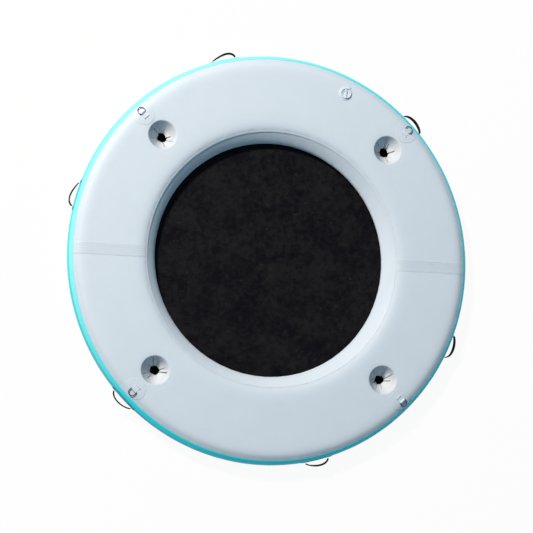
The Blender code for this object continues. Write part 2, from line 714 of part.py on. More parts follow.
def valve():
    """Valve body clamped through the deck, with its sprung plunger."""
    eye_place = LEASH_HINGE_PLACE + LEASH_HINGE_GAP + EYE_RADIUS
    guide = STEM_RADIUS + STEM_CLEARANCE
    section = [(FLANGE_RADIUS, SEAT_GAP), (FLANGE_RADIUS, FLANGE_EDGE_HEIGHT),
               (FLANGE_SHOULDER_RADIUS, FLANGE_HEIGHT), (NECK_RADIUS, FLANGE_HEIGHT),
               (NECK_RADIUS, NECK_HEIGHT), (BORE_RADIUS, NECK_HEIGHT), (BORE_RADIUS, -GUIDE_DEPTH),
               (guide, -GUIDE_DEPTH), (guide, -GUIDE_DEPTH - GUIDE_THICKNESS),
               (BORE_RADIUS, -GUIDE_DEPTH - GUIDE_THICKNESS), (BORE_RADIUS, SEAT_THICKNESS - BARREL_DEPTH),
               (SEAT_RADIUS, SEAT_THICKNESS - BARREL_DEPTH),
               (SEAT_RADIUS, -BARREL_DEPTH), (BARREL_RADIUS, -BARREL_DEPTH), (BARREL_RADIUS, SEAT_GAP)]
    body = valve_piece("valve_body", turned(section, VALVE_FACETS), VALVE_GREY, 0.4)
    stud = turned(cylinder_section(STUD_RADIUS, FLANGE_EDGE_HEIGHT / 2, STUD_HEIGHT), STEM_SIDES)
    boolean(body, valve_guide("leash_stud", stud, LEASH_ANGLE, (eye_place, 0.0, 0.0)), "UNION")

    top = -SKIN_THICKNESS - SEAT_GAP
    nut = ring_section(BARREL_RADIUS + SEAT_GAP, NUT_RADIUS, top - NUT_THICKNESS, top)
    valve_piece("valve_nut", turned(nut, VALVE_FACETS), VALVE_DARK, 0.5)

    for i in range(GUIDE_HOLES):
        hole = turned(cylinder_section(GUIDE_HOLE_RADIUS, -GUIDE_DEPTH - 2 * GUIDE_THICKNESS,
                                       GUIDE_THICKNESS - GUIDE_DEPTH), GUIDE_HOLES * 2)
        place = (GUIDE_HOLE_PLACE, 0.0, 0.0)
        boolean(body, valve_guide(f"guide_hole_{i}", hole, 360 * i / GUIDE_HOLES, place))

    seal_top = -BARREL_DEPTH - SEAT_GAP
    poppet_top = seal_top - SEAL_THICKNESS - SEAT_GAP
    plunger = [(0.0, -BUTTON_DEPTH), (BUTTON_RADIUS, -BUTTON_DEPTH),
               (BUTTON_RADIUS, -BUTTON_DEPTH - BUTTON_THICKNESS),
               (STEM_RADIUS, -BUTTON_DEPTH - BUTTON_THICKNESS), (STEM_RADIUS, poppet_top),
               (POPPET_RADIUS, poppet_top), (POPPET_RADIUS, poppet_top - POPPET_THICKNESS),
               (0.0, poppet_top - POPPET_THICKNESS)]
    valve_piece("valve_plunger", turned(plunger, STEM_SIDES), VALVE_DARK, 0.4)
    seal = ring_section(SEAT_RADIUS - SEAL_THICKNESS, POPPET_RADIUS, seal_top - SEAL_THICKNESS, seal_top)
    valve_piece("valve_seal", turned(seal, STEM_SIDES), RUBBER_BLACK, 0.7)
    valve_spring()


def valve_spring():
    """Coil spring between the stem guide and the button."""
    edge = SEAT_GAP + SPRING_WIRE_RADIUS
    low = -GUIDE_DEPTH + edge
    high = -BUTTON_DEPTH - BUTTON_THICKNESS - edge
    count = SPRING_TURNS * SPRING_POINTS_PER_TURN
    points = [polar(360 * i / SPRING_POINTS_PER_TURN, SPRING_RADIUS, height)
              for i, height in enumerate(spread(low, high, count))]
    data = wire("valve_spring", points, SPRING_WIRE_RADIUS, 1)
    spring = finish(add_object("valve_spring", data), STEEL, 0.3, 1.0)
    spring.location = valve_centre() + Vector((0, 0, DECK_TOP))


def valve_cap():
    """Cap with a sunk grip, held by a leash that folds beside it."""
    skirt_low = FLANGE_HEIGHT + SEAT_GAP
    ledge = skirt_low + LEASH_RING_HEIGHT + SEAT_GAP
    ceiling = NECK_HEIGHT + SEAT_GAP
    skirt_inner = NECK_RADIUS + CAP_SKIRT_CLEARANCE
    rim_inner = CAP_RADIUS - CAP_RIM_WIDTH
    section = [(skirt_inner, skirt_low), (CAP_SKIRT_RADIUS, skirt_low), (CAP_SKIRT_RADIUS, ledge),
               (CAP_RADIUS, ledge), (CAP_RADIUS, CAP_HEIGHT - CAP_CHAMFER),
               (CAP_RADIUS - CAP_CHAMFER, CAP_HEIGHT), (rim_inner, CAP_HEIGHT),
               (CAP_PLUG_RADIUS - CAP_WALL, ceiling + CAP_WALL),
               (CAP_PLUG_RADIUS - CAP_WALL, CAP_WALL), (0.0, CAP_WALL), (0.0, 0.0),
               (CAP_PLUG_RADIUS, 0.0), (CAP_PLUG_RADIUS, ceiling), (skirt_inner, ceiling)]
    cap = valve_piece("valve_cap", turned(section, VALVE_FACETS), VALVE_GREY, 0.4)
    half = CAP_GRIP_WIDTH / 2
    reach = CAP_PLUG_RADIUS - CAP_WALL / 2
    web = box((-reach, -half, CAP_WALL / 2), (reach, half, CAP_HEIGHT - CAP_WALL))
    boolean(cap, valve_guide("cap_grip_web", web, CAP_GRIP_ANGLE), "UNION")
    reach = rim_inner - CAP_WALL
    grip = box((-reach, -half, ceiling + CAP_WALL / 2), (reach, half, CAP_HEIGHT - CAP_WALL / 2))
    boolean(cap, valve_guide("cap_grip", grip, CAP_GRIP_ANGLE), "UNION")

    ring_inner = CAP_SKIRT_RADIUS + SEAT_GAP
    leash = ring_section(ring_inner, ring_inner + LEASH_RING_WALL, skirt_low, skirt_low + LEASH_RING_HEIGHT)
    bm = turned(leash, VALVE_FACETS)
    hinge = valve_centre() + polar(LEASH_ANGLE, LEASH_HINGE_PLACE, DECK_TOP + skirt_low + LEASH_RING_HEIGHT)
    bmesh.ops.translate(bm, verts=bm.verts, vec=(-LEASH_HINGE_PLACE, 0, -skirt_low - LEASH_RING_HEIGHT))
    ring = finish(add_object("valve_leash", mesh_from("valve_leash", bm), LEASH_ANGLE), VALVE_GREY, 0.5)
    ring.location = hinge
    root = ring_inner + LEASH_RING_WALL / 2 - LEASH_HINGE_PLACE
    tab = box((root, -LEASH_TAB_WIDTH / 2, SEAT_GAP - LEASH_RING_HEIGHT),
              (-LEASH_HINGE_GAP, LEASH_TAB_WIDTH / 2, -SEAT_GAP))
    tab = cutter("leash_tab", tab, hinge)
    tab.rotation_euler.z = math.radians(LEASH_ANGLE)
    boolean(ring, tab, "UNION")

    eye = turned(ring_section(EYE_HOLE_RADIUS, EYE_RADIUS, skirt_low, skirt_low + EYE_THICKNESS), STEM_SIDES)
    place = polar(LEASH_ANGLE, LEASH_HINGE_PLACE + LEASH_HINGE_GAP + EYE_RADIUS, 0.0)
    eye = valve_piece("valve_leash_eye", eye, VALVE_GREY, 0.5, angle=LEASH_ANGLE)
    eye.location += place


def main():
    clear_scene()
    chamber()
    joint_tapes()
    yarn()
    mesh_centre()
    wells()
    tie_downs()
    handles()
    valve()
    valve_cap()


main()
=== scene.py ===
import json
import math

import bmesh
import bpy
import numpy as np
from bpy.props import FloatProperty, FloatVectorProperty, IntProperty, PointerProperty
from mathutils import Matrix, Vector


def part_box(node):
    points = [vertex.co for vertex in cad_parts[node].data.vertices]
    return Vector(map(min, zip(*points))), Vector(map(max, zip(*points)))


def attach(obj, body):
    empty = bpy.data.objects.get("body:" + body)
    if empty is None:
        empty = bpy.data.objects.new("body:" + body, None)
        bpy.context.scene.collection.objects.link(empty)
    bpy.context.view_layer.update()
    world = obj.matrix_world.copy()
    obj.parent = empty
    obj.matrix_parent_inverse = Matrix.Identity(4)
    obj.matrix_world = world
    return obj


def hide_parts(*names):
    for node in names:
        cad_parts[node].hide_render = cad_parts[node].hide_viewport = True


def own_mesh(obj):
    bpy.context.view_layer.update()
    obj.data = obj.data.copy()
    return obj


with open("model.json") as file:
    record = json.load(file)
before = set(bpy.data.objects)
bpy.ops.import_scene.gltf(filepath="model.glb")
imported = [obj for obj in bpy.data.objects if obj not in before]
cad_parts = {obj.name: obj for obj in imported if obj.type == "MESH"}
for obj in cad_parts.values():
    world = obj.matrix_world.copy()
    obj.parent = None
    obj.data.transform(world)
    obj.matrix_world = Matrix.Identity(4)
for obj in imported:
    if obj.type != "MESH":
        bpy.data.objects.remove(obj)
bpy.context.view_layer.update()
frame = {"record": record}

bl_info = {
    "name": "Inflatable dock platform",
    "version": (1, 0, 0),
    "blender": (4, 5, 0),
    "location": "View3D > Sidebar > Dock",
    "description": "Dresses the packed ring platform with fabric, mesh, webbing and fittings",
    "category": "Object",
}

JOINTS = {joint["name"]: joint for joint in frame["record"]["behaviour"]["joints"]}
SEAT = 0.0004  # how far a glued piece lies off the skin
BASE = float(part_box("bottom_skin_rear")[0][2])
DECK = float(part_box("top_skin_rear")[1][2])
BULGE = (DECK - BASE) / 2
MIDDLE = (DECK + BASE) / 2
RING_RADIUS = float(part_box("outer_side_band")[1][0]) + SEAT
VALVE = JOINTS["plunger_slide"]["pos_m"]
SEAM_DEGREES = 14  # round the inner wall from the flat to the deck's edge
KNEE_DEGREES = 60  # round the outer wall from the flat to the deck's edge
WALL_GAP_DEGREES = 0.3  # from the deck's edge to the side wall's edge
HALF_GAP_DEGREES = 0.03  # from a join to the edge of a half deck
RAIL_DEGREES = (48, 72)  # the rail tape's edges, round the outer wall
BEFORE_RAIL_DEGREES = 46  # just short of the rail tape
SEAM_TAPE_DEGREES = (21, 7)  # the inner seam tape's edges, round the inner wall
DECK_DEPTH = 0.0003  # of the deck's cloth under the skin's shape
WELL_DROP = 0.0032  # how far the deck sags at a well's mouth
WELL_DROP_FADE = 0.009  # distance over which that sag is divided by e
PINCH_DROP = 0.014  # how far a sleeve's waist lies below the middle
SLEEVE_INSIDE = 0.0006  # how far a sleeve's top lies inside the mouth
COLLAR_COVER = 0.0052  # from a mouth to the deck's cut edge, which the collar hides
COLLAR_INNER = 0.0740  # radius of the collar's inner edge
EDGE_ROWS = np.array([0.0004, 0.0010, 0.0020])  # rows close to a tape's edges, where it thins
NET_THIN = 0.0003  # thickness of a strand of the meshes
GRIP_HALF, GRIP_REACH, GRIP_FOOT = 0.070, 0.0295, 0.0040  # a handle's half span, reach and foot off the wall
PAD_HALF, PAD_DEGREES = 0.098, 16  # a handle pad's half length, and half height round the wall
SEWN_FROM, SEWN_TO, SEWN_HALF = 0.0715, 0.092, 0.011  # a handle's sewn ends along and across the wall
WAVE_PERIOD = 0.314159  # length of one band of a Wave Texture at scale 1
BOX_CORNERS = np.array([[-1, -1, 0], [1, -1, 0], [1, 1, 0], [-1, 1, 0],
                        [-1, -1, 1], [1, -1, 1], [1, 1, 1], [-1, 1, 1]], float)
BOX_FACES = np.array([[0, 3, 2, 1], [4, 5, 6, 7], [0, 1, 5, 4], [1, 2, 6, 5], [2, 3, 7, 6], [3, 0, 4, 7]])
PALE = "Pale valve plastic"
CORNERS = (1, 2, 3, 4)
HANDLES = (1, 2, 3, 4, 5, 6)


def length(label, default, words):
    """A size in metres that the panel shows."""
    return FloatProperty(name=label, description=words, default=default, unit="LENGTH", precision=4)


def colour(label, default, words):
    """A linear colour that the panel shows."""
    return FloatVectorProperty(name=label, description=words, default=default, size=3,
                               min=0.0, max=1.0, subtype="COLOR")


class DockSizes(bpy.types.PropertyGroup):
    """Sizes of the dressed platform."""
    opening: length("Opening radius", 0.6953, "From the middle to the inner wall")
    inner_flat: length("Inner shoulder", 0.1050, "How far over the flat the deck slopes to the opening")
    inner_seam: length("Inner seam", 0.0620, "From the inner wall to its upper seam, seen from above")
    seam_drop: length("Seam drop", 0.0200, "How far the inner seam lies below the deck")
    belly: length("Belly", 0.0180, "How far the inner wall's widest line lies below the middle")
    outer_flat: length("Outer shoulder", 0.0540, "How far over the flat the deck slopes to the edge")
    outer_knee: length("Outer knee", 0.0460, "From the platform's edge to where the shoulder turns down")
    knee_drop: length("Knee drop", 0.0105, "How far the outer knee lies below the deck")
    cloth: length("Cloth", 0.0012, "Thickness of the coated cloth")
    tape: length("Tape", 0.0010, "Thickness of the seam tapes and patches")
    join_width: length("Joint tape", 0.072, "Width of the tapes over the two joins")
    well_mouth: length("Well mouth", 0.0850, "Radius of a well at the deck")
    well_waist: length("Well waist", 0.0258, "Radius of a well where it is pinched")
    pleat: length("Pleat", 0.0100, "Step of a fold at a well's waist")
    collar: length("Collar", 0.0945, "Outer radius of a well's collar")
    mesh_pitch: length("Mesh pitch", 0.0030, "Distance between the strands of the centre mesh")
    mesh_strand: length("Mesh strand", 0.00298, "Width of a strand of the meshes")
    mesh_cross: length("Crossing strand", 0.0010, "Width of a strand that crosses beneath")
    patch: length("Ring patch", 0.0660, "Radius of the round patch under a tie-down ring")
    wire: length("Ring wire", 0.00245, "Radius of a tie-down ring's wire")
    webbing: length("Webbing", 0.0250, "Width of the handles' webbing")
    pleats: IntProperty(name="Pleats", description="Folds round a well's waist", default=8, min=3)


class DockColours(bpy.types.PropertyGroup):
    """Colours of the dressed platform."""
    deck: colour("Deck", (0.620, 0.712, 0.780), "Pale grey coated cloth")
    # Painted shade: the well sleeve's colour is darkened for its shaded side; the next colour is its painted
    # lit copy.
    sleeve: colour("Well sleeve", (0.400, 0.475, 0.530), "Sleeve cloth on its shaded side")
    sleeve_painted_lit: colour("Well sleeve, pale", (0.660, 0.700, 0.725), "The same cloth where it faces the light")
    # Painted light and shade: lit and shaded copies of the inner wall's cloth colour.
    wall_painted_lit: colour("Inner wall, pale", (0.760, 0.860, 0.930), "Inner wall cloth on its light side")
    wall_painted_shade: colour("Inner wall, dark", (0.460, 0.535, 0.590), "Inner wall cloth on its dark side")
    seam: colour("Seam tape", (0.625, 0.712, 0.775), "Grey tape over the seams")
    # Painted light: the rail tape's colour is kept bright for the shaded side, standing in for light bounced
    # from below; the next colour is its painted lit copy.
    rail: colour("Rail tape", (0.002, 0.820, 0.900), "Turquoise tape on the outer shoulder")
    rail_painted_lit: colour("Rail tape, pale", (0.245, 0.800, 0.790), "The same tape where it faces the light")
    side: colour("Side band", (0.002, 0.600, 0.740), "Deeper turquoise round the side")
    # Painted light: a lit copy of the side band's colour, for the side of the ring that faces the light.
    side_painted_lit: colour("Side band, pale", (0.030, 0.700, 0.740), "The same band where it faces the light")
    mesh: colour("Mesh", (0.0012, 0.0010, 0.0034), "Black mesh")
    strap: colour("Handle webbing", (0.006, 0.006, 0.007), "Black webbing")
    tab: colour("Ring tab", (0.740, 0.840, 0.900), "Pale webbing of the ring tabs")
    # Painted reflection: far darker than bare steel, standing in for the dim surroundings that the polished
    # ring reflects.
    steel: colour("Steel", (0.085, 0.100, 0.120), "Polished stainless steel")
    valve: colour("Valve", (0.620, 0.712, 0.780), "Pale grey valve plastic")


def sizes():
    """The sizes as the panel has them."""
    return bpy.context.scene.dock_sizes


def colours():
    """The colours as the panel has them."""
    return bpy.context.scene.dock_colours


# Shapes

def ease(x):
    """Smooth step: three times x squared less twice x cubed, with x held from 0 to 1."""
    x = np.clip(x, 0.0, 1.0)
    return x * x * (3.0 - 2.0 * x)


def pucker(angle):
    """Small gathers where the cloth bends round a ring: a sum of sines, each its height times the
    sine of its count times the angle plus its phase."""
    waves = ((0.45, 61, 0.4), (0.35, 97, 1.9), (0.25, 143, 4.1), (0.30, 23, 2.6), (0.20, 211, 0.9))
    return sum(height * np.sin(count * angle + phase) for height, count, phase in waves)


def full_turn(count):
    """Evenly spread angles of a whole turn, as a column."""
    return np.linspace(0.0, 2 * np.pi, count, endpoint=False)[:, None]


def wall_run(degrees):
    """Length over a round wall that an angle takes."""
    return BULGE * math.radians(degrees)


def flat_width():
    """Width of the deck between the tops of its two round walls."""
    return RING_RADIUS - sizes().opening - 2 * BULGE


def bezier(corners, t):
    """Point of a cubic curve: its four corners weighted by the terms of (1 - t + t) cubed."""
    a, b, c, d = np.asarray(corners, float)
    t = np.asarray(t)[:, None]
    return (1 - t) ** 3 * a + 3 * t * (1 - t) ** 2 * b + 3 * t ** 2 * (1 - t) * c + t ** 3 * d


def leaning(spot, degrees, size):
    """A spot moved by a size along a direction given in degrees from the outward radius."""
    a = math.radians(degrees)
    return spot[0] + size * math.cos(a), spot[1] + size * math.sin(a)


def section(side):
    """Lengths over the ring's skin with the radius, height and outward normal at each.

    Length is counted from the flat's inner edge. Both walls are half circles; for side 1 curves
    take the place of the inner one and of the outer one's upper half: a soft shoulder down to
    the seam or the knee, the wall from there to its widest line, and the inner wall's lower part.
    Each curve's two middle corners lie off its ends by a direction in degrees and a reach."""
    s = sizes()
    width = flat_width()
    along = np.linspace(-BULGE * np.pi, width + BULGE * np.pi, 4001)
    down_in = np.clip(-along, 0.0, None) / BULGE
    down_out = np.clip(along - width, 0.0, None) / BULGE
    radius = s.opening + BULGE + np.clip(along, 0.0, width) + BULGE * (np.sin(down_out) - np.sin(down_in))
    points = np.stack([radius, BULGE * (np.cos(down_out) + np.cos(down_in) - 1.0)], -1)
    if side > 0:
        foot, belly = (s.opening + BULGE, -BULGE), (s.opening, -s.belly)
        seam = (s.opening + s.inner_seam, BULGE - s.seam_drop)
        inner = (s.opening + BULGE + s.inner_flat, BULGE)
        outer = (RING_RADIUS - BULGE - s.outer_flat, BULGE)
        knee, rim = (RING_RADIUS - s.outer_knee, BULGE - s.knee_drop), (RING_RADIUS, 0.0)
        seam_along, knee_along = -wall_run(SEAM_DEGREES), width + BULGE * np.pi / 6
        curves = ((-BULGE * np.pi, -BULGE * np.pi / 2, foot, 180, 0.042, belly, 270, 0.034),
                  (-BULGE * np.pi / 2, seam_along, belly, 90, 0.022, seam, 219, 0.014),
                  (seam_along, s.inner_flat, seam, 35, 0.030, inner, 180, 0.070),
                  (width - s.outer_flat, knee_along, outer, 0, 0.045, knee, 152, 0.020),
                  (knee_along, width + BULGE * np.pi / 2, knee, -30, 0.028, rim, 90, 0.038))
        for first, last, start, leaves, reach, end, meets, run_in in curves:
            corners = [start, leaning(start, leaves, reach), leaning(end, meets, run_in), end]
            part = (along >= first) & (along <= last)
            points[part] = bezier(corners, (along[part] - first) / (last - first))
    ahead = np.gradient(points, axis=0)
    normal = np.stack([-ahead[:, 1], ahead[:, 0]], -1) / np.linalg.norm(ahead, axis=1, keepdims=True)
    return along, points, normal


def on_ring(angle, along, lift=0.0, side=1):
    """Point of the ring's skin at an angle about Z and a length over the skin, moved out along
    the skin's normal by lift; side -1 is the underside."""
    table, points, normal = section(side)
    spot = [np.interp(along, table, points[:, n]) + lift * np.interp(along, table, normal[:, n])
            for n in (0, 1)]
    angle, radius, height = np.broadcast_arrays(angle, *spot)
    return np.stack([radius * np.cos(angle), radius * np.sin(angle), MIDDLE + side * height], -1)


def around(centre, radius, angle, height):
    """Point at a radius and angle about an upright line through centre, at a height."""
    radius, angle, height = np.broadcast_arrays(radius, angle, height)
    return np.stack([centre[0] + radius * np.cos(angle), centre[1] + radius * np.sin(angle), height], -1)


def turned_about(points, centre, axis_angle):
    """Points given as x outwards, y along the ring and z up, turned about Z and moved to centre."""
    c, s = math.cos(axis_angle), math.sin(axis_angle)
    x, y, z = points[..., 0], points[..., 1], points[..., 2]
    return np.stack([centre[0] + c * x - s * y, centre[1] + s * x + c * y, centre[2] + z], -1)


def rounded(corners, radius, steps=5):
    """A closed outline whose corners are replaced by parabolic arcs that start radius away, or
    a third of the shorter side where that is less."""
    corners = np.asarray(corners, float)
    before, after = np.roll(corners, 1, 0) - corners, np.roll(corners, -1, 0) - corners
    left, right = np.linalg.norm(before, axis=1, keepdims=True), np.linalg.norm(after, axis=1, keepdims=True)
    reach = np.minimum(radius, np.minimum(left, right) / 3)
    start, stop = corners + before / left * reach, corners + after / right * reach
    t = np.linspace(0.0, 1.0, steps)[None, :, None]
    arcs = (1 - t) ** 2 * start[:, None] + 2 * t * (1 - t) * corners[:, None] + t ** 2 * stop[:, None]
    return arcs.reshape(-1, 2)


def spindle(corners, radius, steps=5):
    """Outline of a piece that is solid on its axis: rounded, with its first and last corners kept."""
    arcs = rounded(corners, radius, steps).reshape(len(corners), steps, 2)[1:-1].reshape(-1, 2)
    return np.concatenate([corners[:1], arcs, corners[-1:]])


def cells(rows, columns, wrap_rows, wrap_columns):
    """Corner indices of a grid's faces, and each corner's row and column counted past the wrap."""
    i, j = np.meshgrid(np.arange(rows - (not wrap_rows)), np.arange(columns - (not wrap_columns)),
                       indexing="ij")
    row = np.stack([i, i + 1, i + 1, i], -1).reshape(-1, 4)
    column = np.stack([j, j, j + 1, j + 1], -1).reshape(-1, 4)
    return (row % rows) * columns + column % columns, row, column


def lengths(points, axis, wrap):
    """Mean length travelled over a grid along one of its axes, from its first row or column."""
    ahead = np.roll(points, -1, axis) if wrap else points
    steps = np.linalg.norm((ahead - points) if wrap else np.diff(points, axis=axis), axis=-1).mean(1 - axis)
    return np.concatenate([[0.0], np.cumsum(steps)])


def finish_mesh(name, points, faces, uv, sharp):
    """Put a shape into a mesh, weld its poles, face it outwards and shade it smooth."""
    mesh = bpy.data.meshes.new(name)
    mesh.from_pydata(points.reshape(-1, 3).tolist(), [], faces.tolist())
    layer = mesh.uv_layers.new(name="UVMap")
    layer.uv.foreach_set("vector", uv.astype(np.float32).ravel())
    shape = bmesh.new()
    shape.from_mesh(mesh)
    bmesh.ops.remove_doubles(shape, verts=shape.verts, dist=1e-6)
    bmesh.ops.recalc_face_normals(shape, faces=shape.faces)
    shape.to_mesh(mesh)
    shape.free()
    mesh.shade_smooth()
    mesh.set_sharp_from_angle(angle=math.radians(sharp))
    return mesh


def skin_mesh(name, front, back, wrap=(False, False), keep=None, sharp=40):
    """Closed sheet between two grids: the faces of both, and a rim wherever a face has no neighbour."""
    rows, columns = front.shape[:2]
    faces, row, column = cells(rows, columns, *wrap)
    u, v = lengths(front, 0, wrap[0]), lengths(front, 1, wrap[1])
    uv = np.stack([u[row], v[column]], -1)
    if keep is not None:
        kept = keep(front.reshape(-1, 3)[faces].mean(1))
        faces, uv = faces[kept], uv[kept]
    count = rows * columns
    ahead = np.roll(faces, -1, 1)
    open_edge = ~np.isin(faces * count + ahead, ahead * count + faces)
    first, second = faces[open_edge], ahead[open_edge]
    rim = np.stack([second, first, first + count, second + count], -1)
    uv_first, uv_second = uv[open_edge], np.roll(uv, -1, 1)[open_edge]
    rim_uv = np.stack([uv_second, uv_first, uv_first, uv_second], 1)
    points = np.concatenate([front.reshape(-1, 3), back.reshape(-1, 3)])
    every = np.concatenate([faces, faces[:, ::-1] + count, rim])
    return finish_mesh(name, points, every, np.concatenate([uv, uv[:, ::-1], rim_uv]), sharp)


def loop_mesh(name, points, wrap=(False, True), sharp=60):
    """Surface of a grid that closes on itself, or whose open ends are drawn to a point."""
    faces, row, column = cells(points.shape[0], points.shape[1], *wrap)
    u, v = lengths(points, 0, wrap[0]), lengths(points, 1, wrap[1])
    return finish_mesh(name, points, faces, np.stack([u[row], v[column]], -1), sharp)


def lathe_mesh(name, centre, outline, segments=96, wrap=True):
    """Outline of radius and height carried round an upright line through centre."""
    outline = np.asarray(outline, float)
    points = around(centre, outline[None, :, 0], full_turn(segments), outline[None, :, 1])
    return loop_mesh(name, points, (True, wrap), 32)


def swept(path, across, half_width, half_depth, closed=False, sides=16, square=1.0):
    """Section carried along a path: an ellipse whose cosine and sine are raised to a power, so
    that a power below one squares it. Open ends are drawn to a point."""
    path, across = np.asarray(path, float), np.asarray(across, float)
    tangent = np.roll(path, -1, 0) - np.roll(path, 1, 0) if closed else np.gradient(path, axis=0)
    tangent /= np.linalg.norm(tangent, axis=1, keepdims=True)
    across = np.broadcast_to(across, path.shape)
    across = across - (across * tangent).sum(1, keepdims=True) * tangent
    across /= np.linalg.norm(across, axis=1, keepdims=True)
    normal = np.cross(tangent, across)
    turn = full_turn(sides)[None]
    c = np.sign(np.cos(turn)) * np.abs(np.cos(turn)) ** square
    s = np.sign(np.sin(turn)) * np.abs(np.sin(turn)) ** square
    wide, deep = (np.broadcast_to(np.asarray(half, float).reshape(-1, 1, 1), (len(path), 1, 1))
                  for half in (half_width, half_depth))
    rings = path[:, None] + across[:, None] * wide * c + normal[:, None] * deep * s
    if not closed:
        rings = np.concatenate([path[:1, None] + 0 * rings[:1], rings, path[-1:, None] + 0 * rings[-1:]])
    return rings


def place(mesh, look, stands_for=(), body="platform"):
    """Link a piece, give it its material, attach it to the body it rides on and hide the parts it stands for.
    """
    thing = bpy.data.objects.new(mesh.name, mesh)
    bpy.context.scene.collection.objects.link(thing)
    mesh.materials.append(finish(look))
    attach(thing, body)
    if stands_for:
        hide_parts(*stands_for)
    return thing


# Materials


def finish(name):
    """The named material, made when it is first asked for."""
    if name in bpy.data.materials:
        return bpy.data.materials[name]
    c = colours()
    makers = {
        "Pale deck cloth": lambda: deck_cloth(name),
        "Inner wall cloth": lambda: wall_cloth(name),
        "Joint tape cloth": lambda: join_cloth(name),
        "Well sleeve cloth": lambda: sleeve_cloth(name),
        "Ring patch cloth": lambda: cloth_material(name, [0.985 * x for x in c.deck],
                                                   roughness=0.42, gloss=0.45),
        "Seam tape cloth": lambda: tape_cloth(name, c.seam),
        "Tab weld": lambda: cloth_material(name, c.seam, roughness=0.4, gloss=0.4),
        # Painted light: both turquoises mix in a painted lit copy on the side of the ring that faces the
        # light.
        "Turquoise rail tape": lambda: turquoise(name, c.rail, c.rail_painted_lit),
        "Turquoise side cloth": lambda: turquoise(name, c.side, c.side_painted_lit),
        "White drop yarn": lambda: cloth_material(name, (0.78, 0.78, 0.76),
                                                  roughness=0.8, gloss=0.2, pitch=0.0008),
        "Black mesh strands": lambda: mesh_material(name, c.mesh),
        "Black handle webbing": lambda: webbing_material(name, c.strap),
        "Pale ring webbing": lambda: webbing_material(name, c.tab),
        # Painted reflection: the ring steel's colour is darkened to stand in for the dim surroundings it
        # reflects.
        "Polished ring steel": lambda: hard_material(name, c.steel, 0.16,
                                                     metallic=1.0, scale=90.0, grain=0.00005),
        "Spring steel": lambda: hard_material(name, (0.30, 0.32, 0.35), 0.25,
                                              metallic=1.0, scale=120.0, grain=0.00004),
        "Pale valve plastic": lambda: hard_material(name, c.valve, 0.32),
        "Dark valve plastic": lambda: hard_material(name, (0.11, 0.12, 0.14), 0.42),
        "Black seal rubber": lambda: hard_material(name, (0.018, 0.018, 0.018), 0.7,
                                                   scale=40.0, grain=0.0003),
    }
    return makers[name]()


def add_node(tree, kind, inputs=None, **settings):
    """A node with its settings, and with each input set to a value or joined to an output."""
    made = tree.nodes.new("ShaderNode" + kind)
    for key, value in settings.items():
        setattr(made, key, value)
    for key, value in (inputs or {}).items():
        if isinstance(value, bpy.types.NodeSocket):
            tree.links.new(value, made.inputs[key])
        else:
            made.inputs[key].default_value = value
    return made


def sums(tree, operation, a, b, c=None, clamp=False):
    """Output of one Math node."""
    inputs = {0: a, 1: b} if c is None else {0: a, 1: b, 2: c}
    return add_node(tree, "Math", inputs, operation=operation, use_clamp=clamp).outputs[0]


def scaled(tree, value, rate, start, clamp=False):
    """A value times a rate, plus a start."""
    return sums(tree, "MULTIPLY_ADD", value, rate, start, clamp)


def above(tree, value, start, rate, clamp=True):
    """How far a value lies above a start, times a rate, held from 0 to 1 where clamped."""
    return sums(tree, "MULTIPLY", sums(tree, "SUBTRACT", value, start), rate, clamp=clamp)


def join(tree, node, **values):
    """Join values to a node's inputs of the same names."""
    for key, value in values.items():
        tree.links.new(value, node.inputs[key.replace("_", " ")])


def noise(tree, where, scale, detail, **more):
    """Output of a Noise Texture."""
    inputs = {"Vector": where, "Scale": scale, "Detail": detail, **more}
    return add_node(tree, "TexNoise", inputs).outputs["Fac"]


def bands(tree, where, scale, direction="X", **more):
    """Output of a Wave Texture of straight bands."""
    more = {key.replace("_", " "): value for key, value in more.items()}
    inputs = {"Vector": where, "Scale": scale, **more}
    return add_node(tree, "TexWave", inputs, bands_direction=direction).outputs["Fac"]


def mapped(tree, where, **inputs):
    """Coordinates turned or stretched by a Mapping node."""
    return add_node(tree, "Mapping", {"Vector": where, **inputs}).outputs[0]


def mixed(tree, factor, first, second, kind="MIX"):
    """Two colours or shades mixed by a factor."""
    inputs = {"Factor": factor, 6: first, 7: second}
    return add_node(tree, "Mix", inputs, data_type="RGBA", blend_type=kind).outputs[2]


def coordinates(tree, kind):
    """The object's own coordinates, or the piece's map."""
    return add_node(tree, "TexCoord").outputs[kind]


def new_group(name, number, default, outputs):
    """Node group that takes a vector and a number: its tree, its two inputs and its end node."""
    tree = bpy.data.node_groups.new(name, "ShaderNodeTree")
    tree.interface.new_socket("Vector", in_out="INPUT", socket_type="NodeSocketVector")
    tree.interface.new_socket(number, in_out="INPUT", socket_type="NodeSocketFloat").default_value = default
    for label in outputs:
        tree.interface.new_socket(label, in_out="OUTPUT", socket_type="NodeSocketFloat")
    start, end = tree.nodes.new("NodeGroupInput"), tree.nodes.new("NodeGroupOutput")
    return tree, start.outputs["Vector"], start.outputs[number], end


def cloth_group():
    """Coated cloth: fine crossed threads and slow swells in height, and a faint slanted, mottled shade."""
    if "Coated cloth" in bpy.data.node_groups:
        return bpy.data.node_groups["Coated cloth"]
    tree, where, pitch, end = new_group("Coated cloth", "Pitch", 0.0012, ("Height", "Shade", "Sheen mask"))
    rate = sums(tree, "DIVIDE", WAVE_PERIOD, pitch)
    threads = sums(tree, "MULTIPLY", bands(tree, where, rate, "X"), bands(tree, where, rate, "Y"))
    swell, grain = noise(tree, where, 9.0, 3.0), noise(tree, where, 180.0, 2.0)
    height = scaled(tree, threads, 0.10, sums(tree, "MULTIPLY", swell, 1.6))
    height = scaled(tree, grain, 0.10, height)
    slanted = mapped(tree, where, Rotation=(0.0, 0.0, math.radians(47)))
    lines = bands(tree, slanted, 30.0, Distortion=0.25, Detail=1.0, Detail_Scale=0.4)
    shade = sums(tree, "ADD", scaled(tree, lines, 0.050, 0.962), above(tree, swell, 0.5, 0.05, False))
    join(tree, end, Height=height, Shade=shade, Sheen_mask=grain)
    return tree


